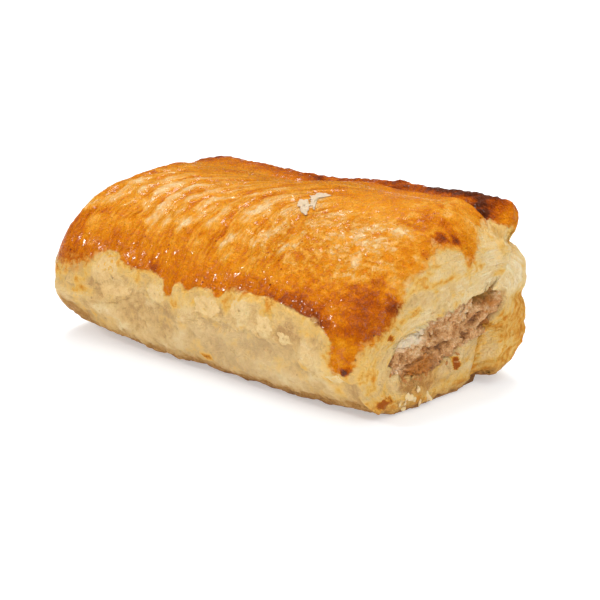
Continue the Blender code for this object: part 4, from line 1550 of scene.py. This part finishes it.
def add_camera():
    """The scene's one camera, from the right of the front and a little above."""
    data = bpy.data.cameras.new("camera")
    data.lens = CAMERA_LENS
    data.sensor_width = CAMERA_SENSOR
    data.clip_start = 0.01
    data.clip_end = 20.0
    camera = bpy.data.objects.new("camera", data)
    bpy.context.scene.collection.objects.link(camera)
    place = from_angles(CAMERA_TARGET, CAMERA_AZIMUTH, CAMERA_ELEVATION, CAMERA_DISTANCE)
    aim(camera, place, CAMERA_TARGET)
    bpy.context.scene.camera = camera


def add_sun(name, strength, azimuth, elevation, width):
    """A distant light, soft by its width."""
    data = bpy.data.lights.new(name, "SUN")
    data.energy = strength
    data.angle = math.radians(width)
    light = bpy.data.objects.new(name, data)
    bpy.context.scene.collection.objects.link(light)
    aim(light, from_angles((0.0, 0.0, 0.0), azimuth, elevation, SUN_DISTANCE), SUN_TARGET)


def add_floor():
    """A wide white sheet that glows softly."""
    material, finish, shader = new_material("white paper", roughness=0.9, specular=0.0)
    finish.feed(shader.inputs["Base Color"], FLOOR_COLOUR)
    finish.feed(shader.inputs["Emission Color"], FLOOR_GLOW_COLOUR)
    finish.feed(shader.inputs["Emission Strength"], FLOOR_GLOW)
    corners = [(x * FLOOR_HALF_WIDTH, y * FLOOR_HALF_WIDTH, FLOOR_LEVEL) for x, y in SQUARE]
    add_piece("floor", corners, [(0, 1, 2, 3)], material)


def add_studio():
    """The floor, a white sky that is brighter above, and three suns."""
    add_floor()
    world = bpy.data.worlds.new("studio")
    world.use_nodes = True
    sky = Finish(world.node_tree)
    background = world.node_tree.nodes["Background"]
    background.inputs["Color"].default_value = (1.0, 1.0, 1.0, 1.0)
    seen = sky.node("ShaderNodeTexCoord").outputs["Generated"]
    direction = sky.node("ShaderNodeSeparateXYZ", {"Vector": seen})
    sky.feed(background.inputs["Strength"], sky.between(direction.outputs["Z"], 0.2, 1.0, 0.16, 0.94))
    bpy.context.scene.world = world
    for sun in SUNS:
        add_sun(*sun)
    bpy.context.scene.view_settings.view_transform = "Standard"


def add_roll(groups):
    """The wrap, the meat and what is loose at the cut end; returns the crust for what lies on it."""
    crust = Crust()
    fields = bake_crust(crust)
    faces = ring_faces(len(crust.points), AROUND, closed=True)
    wrap = add_piece("pastry_crust", crust.points, faces, crust_material(groups, fields), fields)
    carry(wrap, "baked_pastry", "pastry")
    meat_finish = meat_material(groups)
    meat, meat_points, meat_fields = build_meat(crust, meat_finish)
    carry(meat, "sausage_meat", "sausage_filling")
    tree = scatter_tree()
    grains = build_meat_grains(meat_points, meat_fields, crust, tree, meat_finish)
    carry(grains, "sausage_meat")
    crumb_finish = leaf_material(groups, "loose pastry crumb", lowest=0.72, spread=0.0)
    crumbs = build_crumbs(crust, tree, crumb_finish)
    carry(crumbs, "baked_pastry")
    return crust


def add_leaves(crust, groups):
    """The torn leaves on the bare pastry, and the bare flake on the glaze."""
    maker = np.random.default_rng(LEAF_SEED)
    leaves = [(outline, tone, *FRONT_LEAF_LIE) for outline, tone in FRONT_LEAVES]
    for count, middle in SMALL_LEAVES:
        leaves += small_leaves(maker, count, middle)
    leaf_finish = leaf_material(groups, "loose pastry leaf", lowest=0.37, spread=0.5)
    carry(build_leaves("pastry_leaves", crust, leaves, leaf_finish), "baked_pastry")
    lobes = [(outline, FLAKE_TONE, *FLAKE_LIE) for outline in BARE_FLAKE]
    flake_finish = leaf_material(groups, "bare flake", lowest=0.80, spread=0.0, dryness=0.8)
    carry(build_leaves("bare_flake", crust, lobes, flake_finish), "baked_pastry")


def main():
    """Builds every piece, then the camera and the studio."""
    groups = {
        "glaze": glaze_colour_group(),
        "pale": pale_colour_group(),
        "grain": grain_group(),
        "fibres": fibres_group(),
    }
    crust = add_roll(groups)
    add_leaves(crust, groups)
    add_camera()
    add_studio()


main()
